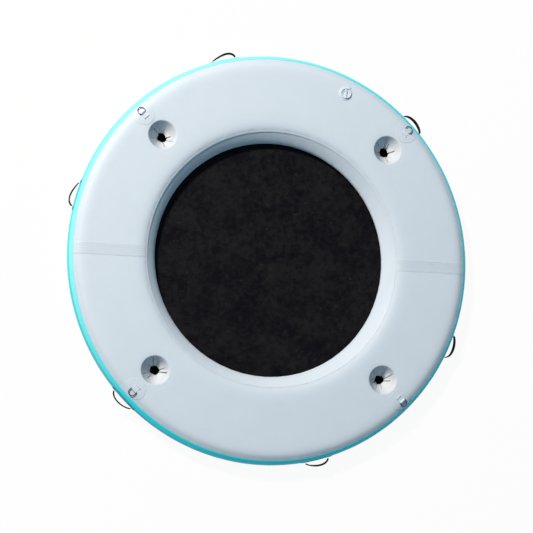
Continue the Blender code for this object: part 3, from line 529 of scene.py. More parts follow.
def webbing_group():
    """Woven strap: two sets of slanted ribs, the higher showing, and a fuzzy shade."""
    if "Woven strap" in bpy.data.node_groups:
        return bpy.data.node_groups["Woven strap"]
    tree, where, pitch, end = new_group("Woven strap", "Pitch", 0.0022, ("Height", "Shade"))
    rate = sums(tree, "DIVIDE", WAVE_PERIOD, pitch)
    slants = [mapped(tree, where, Rotation=(0.0, 0.0, math.radians(degrees))) for degrees in (32, -58)]
    ribs, cross = (bands(tree, slant, rate) for slant in slants)
    height = sums(tree, "MAXIMUM", ribs, cross)
    shade = scaled(tree, noise(tree, where, 260.0, 2.0), 0.5, scaled(tree, height, 0.4, 0.35))
    join(tree, end, Height=height, Shade=shade)
    return tree


def wear_group():
    """Handling marks: fine scratches as one mask and soft smudges as another."""
    if "Handling marks" in bpy.data.node_groups:
        return bpy.data.node_groups["Handling marks"]
    tree, where, scale, end = new_group("Handling marks", "Scale", 60.0, ("Marks", "Smudge"))
    stretch = mapped(tree, where, Scale=(1.0, 9.0, 3.0), Rotation=(0.3, 0.2, 0.9))
    marks = above(tree, noise(tree, stretch, scale, 4.0), 0.55, 6.0)
    join(tree, end, Marks=marks, Smudge=noise(tree, where, 7.0, 3.0))
    return tree


def use_group(tree, group, where, **inputs):
    """Outputs of a node that holds a group, with its inputs set or joined."""
    return add_node(tree, "Group", {"Vector": where, **inputs}, node_tree=group).outputs


def blank_material(name, base, roughness, metallic=0.0, gloss=0.5):
    """Material with its Principled shader's plain values set, and its tree and shader."""
    material = bpy.data.materials.new(name)
    material.use_nodes = True
    material.diffuse_color = (*base, 1.0)
    shader = material.node_tree.nodes["Principled BSDF"]
    values = {"Base Color": (*base, 1.0), "Roughness": roughness, "Metallic": metallic,
              "Specular IOR Level": gloss}
    for key, value in values.items():
        shader.inputs[key].default_value = value
    return material, material.node_tree, shader


def shaded(tree, base, shade):
    """A colour multiplied by a shade."""
    return mixed(tree, 1.0, (*base, 1.0), shade, "MULTIPLY")


def relief(tree, shader, height, distance, strength):
    """Bump the shader by a height."""
    bump = add_node(tree, "Bump", {"Height": height, "Distance": distance, "Strength": strength})
    join(tree, shader, Normal=bump.outputs["Normal"])


def cloth_material(name, base, roughness, gloss, pitch=0.0014, by_map=False, shade_pull=1.0):
    """Coated cloth on the object's own coordinates, or on the piece's map where it curves."""
    material, tree, shader = blank_material(name, base, roughness, gloss=gloss)
    cloth = use_group(tree, cloth_group(), coordinates(tree, "UV" if by_map else "Object"), Pitch=pitch)
    shade = cloth["Shade"]
    if shade_pull != 1.0:
        shade = scaled(tree, sums(tree, "SUBTRACT", shade, 1.0), shade_pull, 1.0)
    join(tree, shader, Base_Color=shaded(tree, base, shade),
         Roughness=scaled(tree, cloth["Sheen mask"], 0.16, roughness - 0.08))
    relief(tree, shader, cloth["Height"], 0.0010, 0.6)
    return material


def webbing_material(name, base):
    """Woven strap on the piece's own map."""
    material, tree, shader = blank_material(name, base, 0.8, gloss=0.12)
    weave = use_group(tree, webbing_group(), coordinates(tree, "UV"), Pitch=0.0022)
    join(tree, shader, Base_Color=shaded(tree, base, weave["Shade"]))
    relief(tree, shader, weave["Height"], 0.0006, 0.8)
    return material


def hard_material(name, base, roughness, metallic=0.0, scale=60.0, grain=0.0002):
    """Moulded plastic, rubber or polished metal with handling marks and a fine skin."""
    material, tree, shader = blank_material(name, base, roughness, metallic)
    where = coordinates(tree, "Object")
    marks = use_group(tree, wear_group(), where, Scale=scale)
    join(tree, shader, Base_Color=shaded(tree, base, scaled(tree, marks["Smudge"], 0.12, 0.94)),
         Roughness=scaled(tree, marks["Marks"], 0.18, roughness))
    relief(tree, shader, noise(tree, where, 900.0, 2.0), grain, 0.5)
    return material


def mesh_material(name, base):
    """Black coated strands: lighter, warmer patches with a fine grain, and a few pale flecks."""
    material, tree, shader = blank_material(name, base, 0.6, gloss=0.12)
    where = coordinates(tree, "Object")
    wide = mapped(tree, where, Scale=(1.0, 1.6, 1.0))
    patch, grain = noise(tree, wide, 4.5, 6.0, Roughness=0.70), noise(tree, where, 30.0, 8.0, Roughness=0.85)
    mask = above(tree, scaled(tree, patch, 0.35, sums(tree, "MULTIPLY", grain, 0.65)), 0.445, 7.0)
    mottle_colour = [c + d for c, d in zip(base, (0.0092, 0.0085, 0.0066))]
    fleck = above(tree, noise(tree, wide, 34.0, 1.0), 0.74, 9.0)
    mottled_base = mixed(tree, mask, (*base, 1.0), (*mottle_colour, 1.0))
    join(tree, shader, Base_Color=mixed(tree, fleck, mottled_base, (0.045, 0.045, 0.045, 1.0)),
         Roughness=scaled(tree, mask, 0.2, 0.5))
    relief(tree, shader, noise(tree, where, 420.0, 2.0), 0.0004, 0.5)
    return material


def dimmed(material, shade):
    """Multiply a material's colour, as it is so far, by a shade."""
    tree = material.node_tree
    shader = tree.nodes["Principled BSDF"]
    before = shader.inputs["Base Color"].links[0].from_socket
    join(tree, shader, Base_Color=mixed(tree, 1.0, before, shade, "MULTIPLY"))
    return material


def paint_slope_shade(material, share):
    """Painted shade: darken the cloth's colour by a share where its own normal leans away from upright."""
    tree = material.node_tree
    normal = add_node(tree, "NewGeometry").outputs["True Normal"]
    lean = add_node(tree, "SeparateXYZ", {0: normal}).outputs["Z"]
    return dimmed(material, scaled(tree, above(tree, 0.985, lean, 9.0), -share, 1.0))


def mix_painted_light(material, other, where, direction, rate, start):
    """Painted light: mix a lit or shaded copy of the colour in by a mask, rate times the share of where along
    a direction, plus start.
    """
    tree = material.node_tree
    base = tree.nodes["Principled BSDF"].inputs["Base Color"].links[0].from_node.inputs[6]
    before = base.links[0].from_socket if base.is_linked else tuple(base.default_value)
    along = add_node(tree, "VectorMath", {0: where, 1: direction}, operation="DOT_PRODUCT").outputs["Value"]
    tree.links.new(mixed(tree, scaled(tree, along, rate, start, True), before, (*other, 1.0)), base)
    return material


def paint_light_by_normal(material, other, direction, rate, start):
    """Painted light and shade: another colour where the surface's own normal faces a direction."""
    normal = add_node(material.node_tree, "NewGeometry").outputs["True Normal"]
    return mix_painted_light(material, other, normal, direction, rate, start)


def turquoise(name, base, painted_lit):
    """Turquoise cloth with painted light: a painted lit copy of its colour mixed in on the side of the ring
    that faces rear left, by object place.
    """
    material = cloth_material(name, base, roughness=0.45, gloss=0.45, pitch=0.0012, by_map=True,
                              shade_pull=0.6)
    return mix_painted_light(material, painted_lit, coordinates(material.node_tree, "Object"), (-0.60, 0.42, 0.0), 1.5, -0.08)


def deck_cloth(name):
    """Deck cloth with painted shade, a little darker where its own normal leans away from upright."""
    return paint_slope_shade(cloth_material(name, colours().deck, roughness=0.5, gloss=0.22), share=0.06)


def wall_cloth(name):
    """Inner wall cloth with painted light and shade: a painted lit copy where its own normal faces left and a
    painted shaded copy where it faces right.
    """
    material = cloth_material(name, colours().deck, roughness=0.5, gloss=0.25)
    paint_light_by_normal(material, colours().wall_painted_lit, (-0.93, -0.36, 0.0), 2.5, -1.5)
    return paint_light_by_normal(material, colours().wall_painted_shade, (0.98, 0.17, 0.0), 2.5, -1.5)


def sleeve_cloth(name):
    """Sleeve cloth with painted light and shade: its colour is darkened for the shaded side, and a painted
    lit copy is mixed in where its own normal faces rear left.
    """
    material = cloth_material(name, colours().sleeve, roughness=0.5, gloss=0.35, by_map=True, shade_pull=0.4)
    return paint_light_by_normal(material, colours().sleeve_painted_lit, (-0.88, 0.47, 0.0), 1.5, 0.42)


def tape_cloth(name, base):
    """Cloth of the seam and joint tapes."""
    return cloth_material(name, base, roughness=0.45, gloss=0.30, pitch=0.0012, by_map=True, shade_pull=0.5)


def join_cloth(name):
    """Joint tape cloth with thin darker weld lines along it, read from its own map."""
    material = tape_cloth(name, [0.95 * x for x in colours().deck])
    tree, weld_spacing = material.node_tree, 0.0145
    lines = bands(tree, coordinates(tree, "UV"), WAVE_PERIOD / weld_spacing)
    return dimmed(material, scaled(tree, sums(tree, "POWER", lines, 8.0), -0.07, 1.0))


# The ring

def columns_over(first, last, step):
    """Evenly spaced lengths from first to last, about a step apart."""
    return np.linspace(first, last, max(2, int(round(abs(last - first) / step)) + 1))


def skin_columns():
    """Lengths over the skin where a half deck has its columns, from its inner to its outer edge."""
    width = flat_width()
    inner = columns_over(-wall_run(SEAM_DEGREES), 0.0, 0.004)[:-1]
    outer = columns_over(width, width + wall_run(KNEE_DEGREES), 0.005)[1:]
    return np.concatenate([inner, columns_over(0.0, width, 0.0050), outer])


def well_centre(k):
    """Middle of a well's liner, seen from above."""
    low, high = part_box(f"well_liner_{k}")
    return np.array([(low[0] + high[0]) / 2, (low[1] + high[1]) / 2])


def dimple(distance):
    """Height of the deck round a well: the drop at its mouth, divided by e over each fading length."""
    past = np.clip(distance - sizes().well_mouth, 0.0, None)
    return -WELL_DROP * np.exp(-past / WELL_DROP_FADE) * (distance > 0.05)


def half_ring(name, turn, side, wells, stands_for, holes=()):
    """Half of the deck or of the underside, from a turn in degrees: a grid of angle and length over
    the skin, with shallow gathers beside the tapes (each a bell curve over the length times the
    pucker), lowered round the wells, and with the faces inside the wells and the valve left out."""
    along = skin_columns()[None, :]
    first, last = turn + HALF_GAP_DEGREES, turn + 180 - HALF_GAP_DEGREES
    angle = np.linspace(math.radians(first), math.radians(last), 560 if side > 0 else 320)[:, None]
    edge = flat_width() + wall_run(BEFORE_RAIL_DEGREES)
    spread = 0.012
    depth = 0.0005 * pucker(angle) * np.exp(-((along - edge) / spread) ** 2)
    depth = depth + 0.0006 * pucker(angle * 0.7 + 1.0) * np.exp(-((along + 0.006) / spread) ** 2)
    if side > 0:
        level = on_ring(angle, along, depth - DECK_DEPTH, side)
        for x, y, _ in wells:
            depth = depth + dimple(np.hypot(level[..., 0] - x, level[..., 1] - y))
    front = on_ring(angle, along, depth - DECK_DEPTH, side)
    back = on_ring(angle, along, depth - DECK_DEPTH - sizes().cloth, side)

    def solid(centres):
        far = [np.hypot(centres[:, 0] - x, centres[:, 1] - y) > r for x, y, r in (*wells, *holes)]
        return np.all(far, 0)

    thing = place(skin_mesh(name, front, back, keep=solid), "Pale deck cloth", [stands_for])


def band(name, first, last, base, thick, look, stands_for, side=1, step=0.006, waves=0.0):
    """Strip round the whole ring between two lengths over the skin, its edges eased down and its
    middle lifted by waves times the pucker."""
    along = np.unique(np.concatenate([columns_over(first, last, step), first + EDGE_ROWS, last - EDGE_ROWS]))
    angle = full_turn(384)
    edge = np.minimum(along - first, last - along)[None, :]
    over = thick * (0.35 + 0.65 * ease(edge / 0.0018))
    lift = base + waves * pucker(angle) * np.sin(np.pi * (along - first) / (last - first))[None, :]
    front = on_ring(angle, along[None, :], lift + over, side)
    back = on_ring(angle, along[None, :], lift, side)
    return place(skin_mesh(name, front, back, (True, False)), look, [stands_for])


def build_ring():
    """Deck and underside in halves, the two side walls and the tapes over their seams."""
    width, cloth, tape = flat_width(), sizes().cloth, sizes().tape
    wells = [(*well_centre(k), sizes().well_mouth + COLLAR_COVER) for k in CORNERS]
    rear, front = [w for w in wells if w[1] > 0], [w for w in wells if w[1] < 0]
    valve_hole = (VALVE[0], VALVE[1], 0.028)
    half_ring("deck_rear", 0, 1, rear, "top_skin_rear", [valve_hole])
    half_ring("deck_front", 180, 1, front, "top_skin_front")
    half_ring("underside_rear", 0, -1, rear, "bottom_skin_rear")
    half_ring("underside_front", 180, -1, front, "bottom_skin_front")

    knee = wall_run(KNEE_DEGREES + WALL_GAP_DEGREES)
    first, last = width + knee, width + BULGE * math.pi - knee
    side = band("side_wall_outer", first, last, -SEAT - cloth, cloth, "Turquoise side cloth",
                "outer_side_band", waves=0.0002)
    inner = -wall_run(SEAM_DEGREES + WALL_GAP_DEGREES)
    wall = band("side_wall_inner", -BULGE * math.pi - inner, inner, -SEAT - cloth, cloth,
                "Inner wall cloth", "inner_side_band", waves=0.0005)
    first, last = (width + wall_run(degrees) for degrees in RAIL_DEGREES)
    for word, side in (("top", 1), ("bottom", -1)):
        band(f"rail_tape_{word}", first, last, SEAT, tape, "Turquoise rail tape",
             f"outer_{word}_tape", side, 0.004)
    first, last = (-wall_run(degrees) for degrees in SEAM_TAPE_DEGREES)
    band("seam_tape_inner_top", first, last, SEAT, tape, "Seam tape cloth", "inner_top_tape", 1, 0.003)


def build_joins():
    """Wide tapes over the joins of the two halves, above and below: thin at their edges, and a
    little lower between their two weld lines."""
    inner_end_degrees, weld_inset = 5, 0.0175
    along = columns_over(-wall_run(inner_end_degrees), flat_width() + wall_run(BEFORE_RAIL_DEGREES), 0.006)
    half, close = sizes().join_width / 2, np.array([0.0005, 0.001, 0.003])
    across = np.unique(np.concatenate([np.linspace(-half, half, 37), half - close, close - half]))
    x, q = np.meshgrid(across, along, indexing="ij")
    edge = np.minimum(half - np.abs(x), np.minimum(q - along[0], along[-1] - q))
    sunk = ease((half - weld_inset - np.abs(x)) / 0.0015)
    over = 0.0006 * (0.1 + 0.9 * ease(edge / 0.0040)) - 0.0002 * sunk
    radius = on_ring(0.0, q)[..., 0]
    for level, side in (("top", 1), ("bottom", -1)):
        for word, turn in (("right", 0.0), ("left", math.pi)):
            name, angle = f"joint_tape_{level}_{word}", turn + x / radius
            front, back = on_ring(angle, q, SEAT / 2 + over, side), on_ring(angle, q, SEAT / 2, side)
            place(skin_mesh(f"{name}_cloth", front, back), "Joint tape cloth", [name])


# The centre

def box_faces(count):
    """Faces of a number of boxes that have eight corners each."""
    return (BOX_FACES[None] + 8 * np.arange(count)[:, None, None]).reshape(-1, 4)


def strands(offsets, half_lengths, half_width, low, high, lengthwise):
    """Corners of long thin boxes side by side, eight for each."""
    side = offsets[:, None] + BOX_CORNERS[None, :, 1] * half_width
    run = half_lengths[:, None] * BOX_CORNERS[None, :, 0]
    height = low + BOX_CORNERS[None, :, 2] * (high - low) + 0 * side
    return np.stack([run, side, height] if lengthwise else [side, run, height], -1).reshape(-1, 3)


def round_net(name, centre, radius, low):
    """Round net: flat strands side by side, and narrower ones that cross beneath them. A strand's
    half length is the root of the radius squared less its outer edge's distance squared."""
    s = sizes()
    count = int(radius / s.mesh_pitch)
    offsets = np.arange(-count, count + 1) * s.mesh_pitch
    offsets = offsets[np.abs(offsets) < radius - s.mesh_pitch]
    reach = np.sqrt(radius ** 2 - (np.abs(offsets) + s.mesh_strand / 2) ** 2)
    over = strands(offsets, reach, s.mesh_strand / 2, low + NET_THIN, low + 2 * NET_THIN, True)
    under = strands(offsets, reach, s.mesh_cross / 2, low, low + 0.96 * NET_THIN, False)
    points = np.concatenate([over, under]) + np.array([centre[0], centre[1], 0.0])
    faces = box_faces(2 * len(offsets))
    return finish_mesh(name, points, faces, points[faces][..., :2], 30)


def build_centre():
    """The stretched mesh as two layers of crossing strands, and the hem that carries it: a strip
    that lies on the inner wall below its widest line and ends in a flat shelf under the mesh."""
    low = float(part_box("mesh_panel")[0][2])
    radius = float(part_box("mesh_panel")[1][0]) - 0.001
    net = place(round_net("centre_mesh", (0.0, 0.0), radius, low), "Black mesh strands", ["mesh_panel"])

    table, points, _ = section(1)
    below = table < -BULGE * math.pi / 2
    root = np.interp(low - MIDDLE, points[below, 1], table[below])
    foot_degrees, shelf_near, shelf_far, shelf_drop = 173, 0.003, 0.034, 0.0016
    leg = columns_over(-wall_run(foot_degrees), root, 0.003)
    inside, outside = ([on_ring(0.0, leg, lift)[:, (0, 2)] for lift in (SEAT, SEAT + sizes().tape)])
    end = inside[-1, 0]
    shelf = np.stack([np.linspace(end - shelf_near, end - shelf_far, 8), np.full(8, low - shelf_drop)], -1)
    shelf_under = shelf[::-1] - np.array([0.0, 0.0010])
    outline = np.concatenate([inside, shelf, shelf_under, outside[::-1]])
    place(lathe_mesh("mesh_hem_cloth", (0.0, 0.0), outline, 320), "Seam tape cloth", ["mesh_hem"])


# Wells

def fold_angles(k):
    """Angles of a sleeve's folds: evenly spread, each moved by a sine of its number and the well's."""
    n = np.arange(sizes().pleats)
    return 2 * np.pi * (n + 0.26 * np.sin(2.4 * n + 1.7 * k)) / sizes().pleats + 0.9 * k


def pinched(turn, fall, k):
    """Radius of a pinched sleeve round its axis: a circle at the mouth and a polygon at the waist.

    The polygon's radius is the least of each side's distance over the cosine of the angle to it.
    The pinch is one less the cosine of fall, which runs from 0 at the deck to pi at
    the foot. At the corners the cloth is folded over: a step that is full just past the corner
    and fades over the side that follows, with a narrow bell-shaped groove before it. Some folds
    start lower than others."""
    s = sizes()
    squeeze = 1.0 - np.abs(np.cos(fall)) + 0.0 * turn
    mouth = s.well_mouth - SLEEVE_INSIDE - 0.005 * (1.0 - np.exp(-np.minimum(fall, np.pi - fall) / 0.18))
    number = np.arange(s.pleats)[:, None, None]
    corner = fold_angles(k)[:, None, None]
    following = np.roll(corner, -1, 0)
    following[-1] += 2 * np.pi
    middle, gap = (corner + following) / 2, following - corner
    reach = s.well_waist * (1.0 + 0.10 * np.sin(1.3 * number + k))
    polygon = (reach * np.cos(gap / 2) / np.maximum(np.cos(turn - middle), 0.2)).min(0)
    start = 0.30 + 0.25 * np.sin(2.1 * number + 0.7 * k)
    grow = ease((squeeze - start) / (0.85 - start)) * (1.0 - 0.55 * squeeze ** 6)
    twisted = turn - corner - 0.25 * np.sin(number + k) * (1.0 - squeeze)
    past, before = np.mod(twisted, 2 * np.pi) / gap, np.mod(-twisted, 2 * np.pi)
    tooth = np.clip(1.0 - past, 0.0, None) ** 2.2 + np.clip(1.0 - before / 0.06, 0.0, None)
    beside = np.mod(twisted + 0.05 + np.pi, 2 * np.pi) - np.pi
    groove = 2.0 * np.exp(-(beside / 0.032) ** 2) * ease((squeeze - start) / 0.15)
    step = s.pleat * (0.65 + 0.5 * np.sin(3.7 * number + 2 * k))
    folds = (step * (grow * tooth - groove)).sum(0)
    return mouth - (mouth - polygon) * squeeze - folds + 0.4 * s.pleat * squeeze ** 4


def build_wells():
    """Four pinched sleeves, each with its collar on the deck and its foot net. A sleeve's height
    follows the cosine of fall, and its waist is lowered and moved aside by the sine of fall."""
    turn = full_turn(480)
    fall = np.linspace(0.0, np.pi, 76)[None, :]
    upper = np.clip(np.cos(fall), 0.0, None)
    height = MIDDLE + (BULGE - 0.0002) * np.cos(fall) - WELL_DROP * upper - PINCH_DROP * np.sin(fall)
    for k in CORNERS:
        centre = well_centre(k)
        shift = np.array([0.013 if centre[0] < 0 else 0.003, -0.005 * np.sign(centre[1]), 0.0])
        moved = (np.sin(fall) ** 2 + 0.0 * turn)[..., None] * shift
        radius, cloth = pinched(turn, fall, k), sizes().cloth
        seen = around(centre, radius, turn, height) + moved
        hidden = around(centre, radius + cloth * np.sin(fall), turn, height - cloth * np.cos(fall)) + moved
        mesh = skin_mesh(f"well_sleeve_{k}", seen, hidden, (True, False), sharp=35)
        sleeve = place(mesh, "Well sleeve cloth", [f"well_liner_{k}"])
        build_collar(k, centre, turn, radius.mean(0)[12::-1], height[0, 12::-1])
        build_foot_net(k, centre)


def build_collar(k, centre, turn, sleeve_radius, sleeve_height):
    """Collar round a well's mouth: it follows the deck's drop outside the mouth and the sleeve
    inside it, and thins at both edges."""
    s = sizes()
    ring = np.linspace(s.collar, COLLAR_INNER + 0.0005, 22)
    inside = ring <= s.well_mouth - SLEEVE_INSIDE
    cover = s.tape * 0.5 * ease((s.collar - ring) / 0.004) * ease((ring - COLLAR_INNER) / 0.004)
    fold = np.interp(ring, sleeve_radius, sleeve_height - DECK, right=0.0)
    fold = np.minimum(fold, 0.0) + dimple(ring) * ~inside - WELL_DROP * inside
    upper = around(centre, ring[None, :], turn, DECK + SEAT + fold + 0.0001 + cover)
    lower = around(centre, ring[None, :], turn, DECK + SEAT + fold)
    mesh = skin_mesh(f"well_collar_cloth_{k}", upper, lower, (True, False))
    place(mesh, "Seam tape cloth", [f"well_collar_{k}"])


def build_foot_net(k, centre):
    """Net over a well's foot: crossing strands inside a round hem."""
    high = float(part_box(f"well_net_{k}")[1][2])
    radius, hem_outer, hem_inner, low, top = 0.0955, 0.0965, 0.0830, 0.00002, 0.00028
    mesh = round_net(f"foot_net_{k}", centre, radius, high - 0.0007)
    net = place(mesh, "Black mesh strands", [f"well_net_{k}"])
    outline = rounded([(hem_outer, low), (hem_outer, top), (hem_inner, top), (hem_inner, low)], 0.0001, 3)
    hem = place(lathe_mesh(f"foot_hem_{k}", centre, outline), "Seam tape cloth")


# Tie-down rings

def build_tie_downs():
    """Four round patches with a folded webbing tab and a steel D-ring."""
    for k in CORNERS:
        pivot = JOINTS[f"dring_{k}_swing"]["pos_m"]
        angle = math.atan2(pivot[1], pivot[0])
        build_ring_patch(k, angle, math.hypot(pivot[0], pivot[1]) - 0.010)
        build_ring_tab(k, angle, pivot)
        build_ring_wire(k, angle, pivot)


def turned_piece(name, rings, centre, angle, look, stands_for=(), body="platform",
                 wrap=(False, True), sharp=60):
    """Swept rings that are turned about Z, moved to a centre and placed."""
    place(loop_mesh(name, turned_about(rings, centre, angle), wrap, sharp), look, stands_for, body)


def build_ring_patch(k, angle, reach):
    """Round patch that follows the deck and bends over the outer shoulder: polar grid of length
    along and across the skin, a second round layer making the inner line."""
    s = sizes()
    turn = full_turn(120)
    share = np.array([[0.0001, 0.25, 0.5, 0.66, 0.735, 0.748, 0.756, 0.764, 0.80, 0.88, 0.95,
                       0.972, 0.986, 1.0]])
    along = reach - s.opening - BULGE + s.patch * share * np.cos(turn)
    across = angle + s.patch * share * np.sin(turn) / on_ring(0.0, along)[..., 0]
    edge, second_layer = ease((1.0 - share) * s.patch / 0.0018), ease((0.76 - share) / 0.02)
    thick = s.tape * (0.25 + 0.55 * edge + 0.35 * second_layer)
    front, back = on_ring(across, along, SEAT + thick), on_ring(across, along, SEAT)
    place(skin_mesh(f"ring_patch_{k}", front, back, (True, False)), "Ring patch cloth", [f"dring_patch_{k}"])


def build_ring_tab(k, angle, pivot):
    """Webbing folded round the ring's bar: a path of tail, loop and tail back, carried sideways,
    whose tails lie one on the other on the patch. A weld lies across its end."""
    thick, tail, half_width = 0.0013, -0.035, 0.0170
    weld_at, weld_half = -0.0335, 0.0185
    reach = math.hypot(pivot[0], pivot[1]) - sizes().opening - BULGE

    def rest(x, layers):
        return on_ring(0.0, reach + x, SEAT + sizes().tape + (layers + 0.5) * thick)[..., 2] - pivot[2]

    turn = np.radians(np.linspace(150, -90, 22))
    round_bar = 0.0036 + thick / 2
    loop = np.stack([round_bar * np.cos(turn), round_bar * np.sin(turn)], -1)
    loop[:, 1] = np.maximum(loop[:, 1], rest(loop[:, 0], 0))
    far, near = np.linspace(tail, -0.0085, 8), np.linspace(-0.004, tail, 8)
    path = np.concatenate([np.stack([far, rest(far, 1)], -1), loop, np.stack([near, rest(near, 0)], -1)])
    path = np.stack([path[:, 0], np.zeros(len(path)), path[:, 1]], -1)
    strap = swept(path, (0.0, 1.0, 0.0), half_width, thick / 2, sides=20, square=0.22)
    turned_piece(f"ring_tab_{k}", strap, pivot, angle, "Pale ring webbing", [f"dring_tab_{k}"])
    bar = np.stack([np.full(9, weld_at), np.linspace(-weld_half, weld_half, 9),
                    np.full(9, rest(weld_at, 1.4))], -1)
    weld = swept(bar, (1.0, 0.0, 0.0), 0.0034, 0.0032, square=0.5)
    turned_piece(f"ring_tab_weld_{k}", weld, pivot, angle, "Tab weld")


def build_ring_wire(k, angle, pivot):
    """D-ring: a straight bar, two round corners and a half circle, tilted about its bar."""
    wide, deep, corner, tilt = 0.042, 0.035, 0.0055, math.radians(19)
    half = wide / 2
    low, high, bow = (np.radians(np.linspace(*turn)) for turn in ((-90, 0, 9), (0, 90, 9), (90, -90, 49)))
    first = np.stack([corner - corner * np.cos(low), corner - half + corner * np.sin(low)], -1)
    second = np.stack([corner - corner * np.cos(high), half - corner + corner * np.sin(high)], -1)
    arc = np.stack([deep - half + half * np.cos(bow), half * np.sin(bow)], -1)
    bar = np.stack([np.zeros(9), np.linspace(corner - half, half - corner, 11)[1:-1]], -1)
    side = np.linspace(corner, deep - half, 5)[1:-1]
    out, back = np.stack([side, np.full(3, half)], -1), np.stack([side[::-1], np.full(3, -half)], -1)
    path = np.concatenate([first, bar, second, out, arc, back])
    path = np.stack([path[:, 0] * math.cos(tilt), path[:, 1], -path[:, 0] * math.sin(tilt)], -1)
    wire = sizes().wire
    rings = swept(path, (math.sin(tilt), 0.0, math.cos(tilt)), wire, wire, closed=True, sides=18)
    turned_piece(f"ring_wire_{k}", rings, pivot, angle, "Polished ring steel", [f"dring_{k}"],
                 f"dring_{k}", (True, True))


# Handles

def build_handles():
    """Six webbing handles on edge, each with its pad and the sewn ends beside it."""
    for k in HANDLES:
        pivot = JOINTS[f"handle_{k}_fold"]["pos_m"]
        angle = math.atan2(pivot[1], pivot[0])
        build_grip(k, angle, pivot, math.hypot(pivot[0], pivot[1]) - RING_RADIUS)
        build_grip_pad(k, angle)


def build_grip(k, angle, pivot, stand):
    """Webbing loop on edge: it leaves the wall steeply, runs beside it and comes back.

    Its distance is a power of one less the squared share of its span, leaning to one end by a
    share that differs from handle to handle. Near the wall its width is held to what clears the
    wall as it folds: the root of the room squared less the inward reach squared."""
    lean = (0.10, -0.55, 0.45, -0.20, 0.25, -0.30)[k - 1]
    share = np.sin(np.linspace(-np.pi / 2, np.pi / 2, 71))
    middle = 1 - share ** 2
    bow = middle ** 0.60 * (1.0 + lean * share)
    out = GRIP_REACH * bow / bow.max() + GRIP_FOOT - stand
    path = np.stack([out, GRIP_HALF * share, 0.0008 * np.sin(5 * share + k) * middle], -1)
    room, full = stand - 0.0016, sizes().webbing / 2 - 0.0006
    inward = np.clip(-out + 0.0024, 0.0, room - 0.0004)
    half = np.where(out > -0.002, full, np.minimum(np.sqrt(room ** 2 - inward ** 2), full))
    tilt = math.radians(10) * middle
    across = np.stack([np.sin(tilt), 0 * tilt, np.cos(tilt)], -1)
    strap = swept(path, across, half, 0.0027 + 0.0014 * middle ** 0.5, sides=24, square=0.35)
    turned_piece(f"grip_{k}", strap, pivot, angle, "Black handle webbing", [f"handle_{k}"], f"handle_{k}")


def on_wall(name, angle, x, q, over, base, look, stands_for=()):
    """Flat piece on the outer wall: a grid of x along the wall and q over the skin, from base to over."""
    turn = angle + x / RING_RADIUS
    place(skin_mesh(name, on_ring(turn, q, over), on_ring(turn, q, base + 0 * over)), look, stands_for)


def build_grip_pad(k, angle):
    """Pad welded behind a handle, and the two sewn webbing ends on it, each with a stitched groove."""
    tape, half = sizes().tape, wall_run(PAD_DEGREES)
    middle = flat_width() + BULGE * math.pi / 2
    along = np.linspace(middle - half, middle + half, 13)
    x, q = np.meshgrid(np.linspace(-PAD_HALF, PAD_HALF, 41), along, indexing="ij")
    edge = np.minimum(PAD_HALF - np.abs(x), half - np.abs(q - middle))
    over = tape * (0.3 + 0.7 * ease(edge / 0.002))
    on_wall(f"grip_pad_{k}", angle, x, q, over - 0.0001, -0.0001, "Turquoise side cloth", [f"handle_pad_{k}"])
    rows = np.linspace(middle - SEWN_HALF, middle + SEWN_HALF, 13)
    for word, sign in (("a", -1), ("b", 1)):
        x, q = np.meshgrid(sign * np.linspace(SEWN_FROM, SEWN_TO, 12), rows, indexing="ij")
        ends = np.minimum(np.abs(x) - SEWN_FROM, SEWN_TO - np.abs(x))
        edge = np.minimum(ends, SEWN_HALF - np.abs(q - middle))
        groove = 0.0004 * np.exp(-((edge - 0.003) / 0.0006) ** 2)
        over = tape + 0.0009 * (0.3 + 0.7 * ease(edge / 0.002)) - groove
        on_wall(f"grip_end_{word}_{k}", angle, x, q, over, tape, "Black handle webbing")


# Valve

def turned_part(name, corners, bend, look, stands_for=(), body="platform", steps=5, segments=96,
                solid=False, centre=VALVE):
    """Turned piece: corners of radius and height over the deck, rounded off and carried round an
    upright line. A solid one closes on its axis."""
    outline = (spindle if solid else rounded)(np.array(corners) + (0.0, DECK), bend, steps)
    place(lathe_mesh(name, centre, outline, segments, not solid), look, stands_for, body)


def build_valve():
    """Valve body, cap with its sunk grip, and the leash with its eye and stud."""
    turned_part("valve_housing", [
        (0.0408, -0.0018), (0.0408, 0.0016), (0.0375, 0.0026), (0.0265, 0.0030), (0.0265, 0.0038),
        (0.0200, 0.0038), (0.0200, -0.0360), (0.0145, -0.0360), (0.0145, -0.0390), (0.0235, -0.0390),
        (0.0235, 0.0004),
    ], 0.0009, PALE, ["valve_body"])
    turned_part("valve_guide", [(0.0197, -0.0195), (0.0035, -0.0195), (0.0035, -0.0220), (0.0197, -0.0220)],
                0.0004, PALE, steps=4, segments=64)
    build_cap()
    build_leash()


def build_cap():
    """Cap: a rim with a sloped inside, a sunk floor, and an upright grip rib across it, whose height
    is one less the fourth power of the share of its half length."""
    turned_part("valve_cap_shell", [
        (0.0, 0.0003), (0.0187, 0.0003), (0.0187, 0.0041), (0.0272, 0.0041), (0.0272, 0.0036),
        (0.0290, 0.0036), (0.0290, 0.0066), (0.0305, 0.0066), (0.0305, 0.0108), (0.0298, 0.0118),
        (0.0286, 0.0118), (0.0279, 0.0053), (0.0172, 0.0053), (0.0166, 0.0018), (0.0, 0.0018),
    ], 0.0007, PALE, ["valve_cap"], "cap", segments=120, solid=True)
    half = 0.0268
    y = np.linspace(-half, half, 25)
    high = DECK + 0.0100 + 0.0014 * (1 - (y / half) ** 4)
    low = np.where(np.abs(y) < 0.0160, DECK + 0.0022, DECK + 0.0056)
    line = np.stack([np.zeros(25), y, (high + low) / 2], -1) + [VALVE[0], VALVE[1], 0.0]
    thick = 0.0058 - 0.0010 * np.abs(y / half) ** 3
    rib = swept(line, (1.0, 0.0, 0.0), thick, (high - low) / 2, sides=24, square=0.35)
    place(loop_mesh("valve_cap_rib", rib, sharp=50), PALE, body="cap")


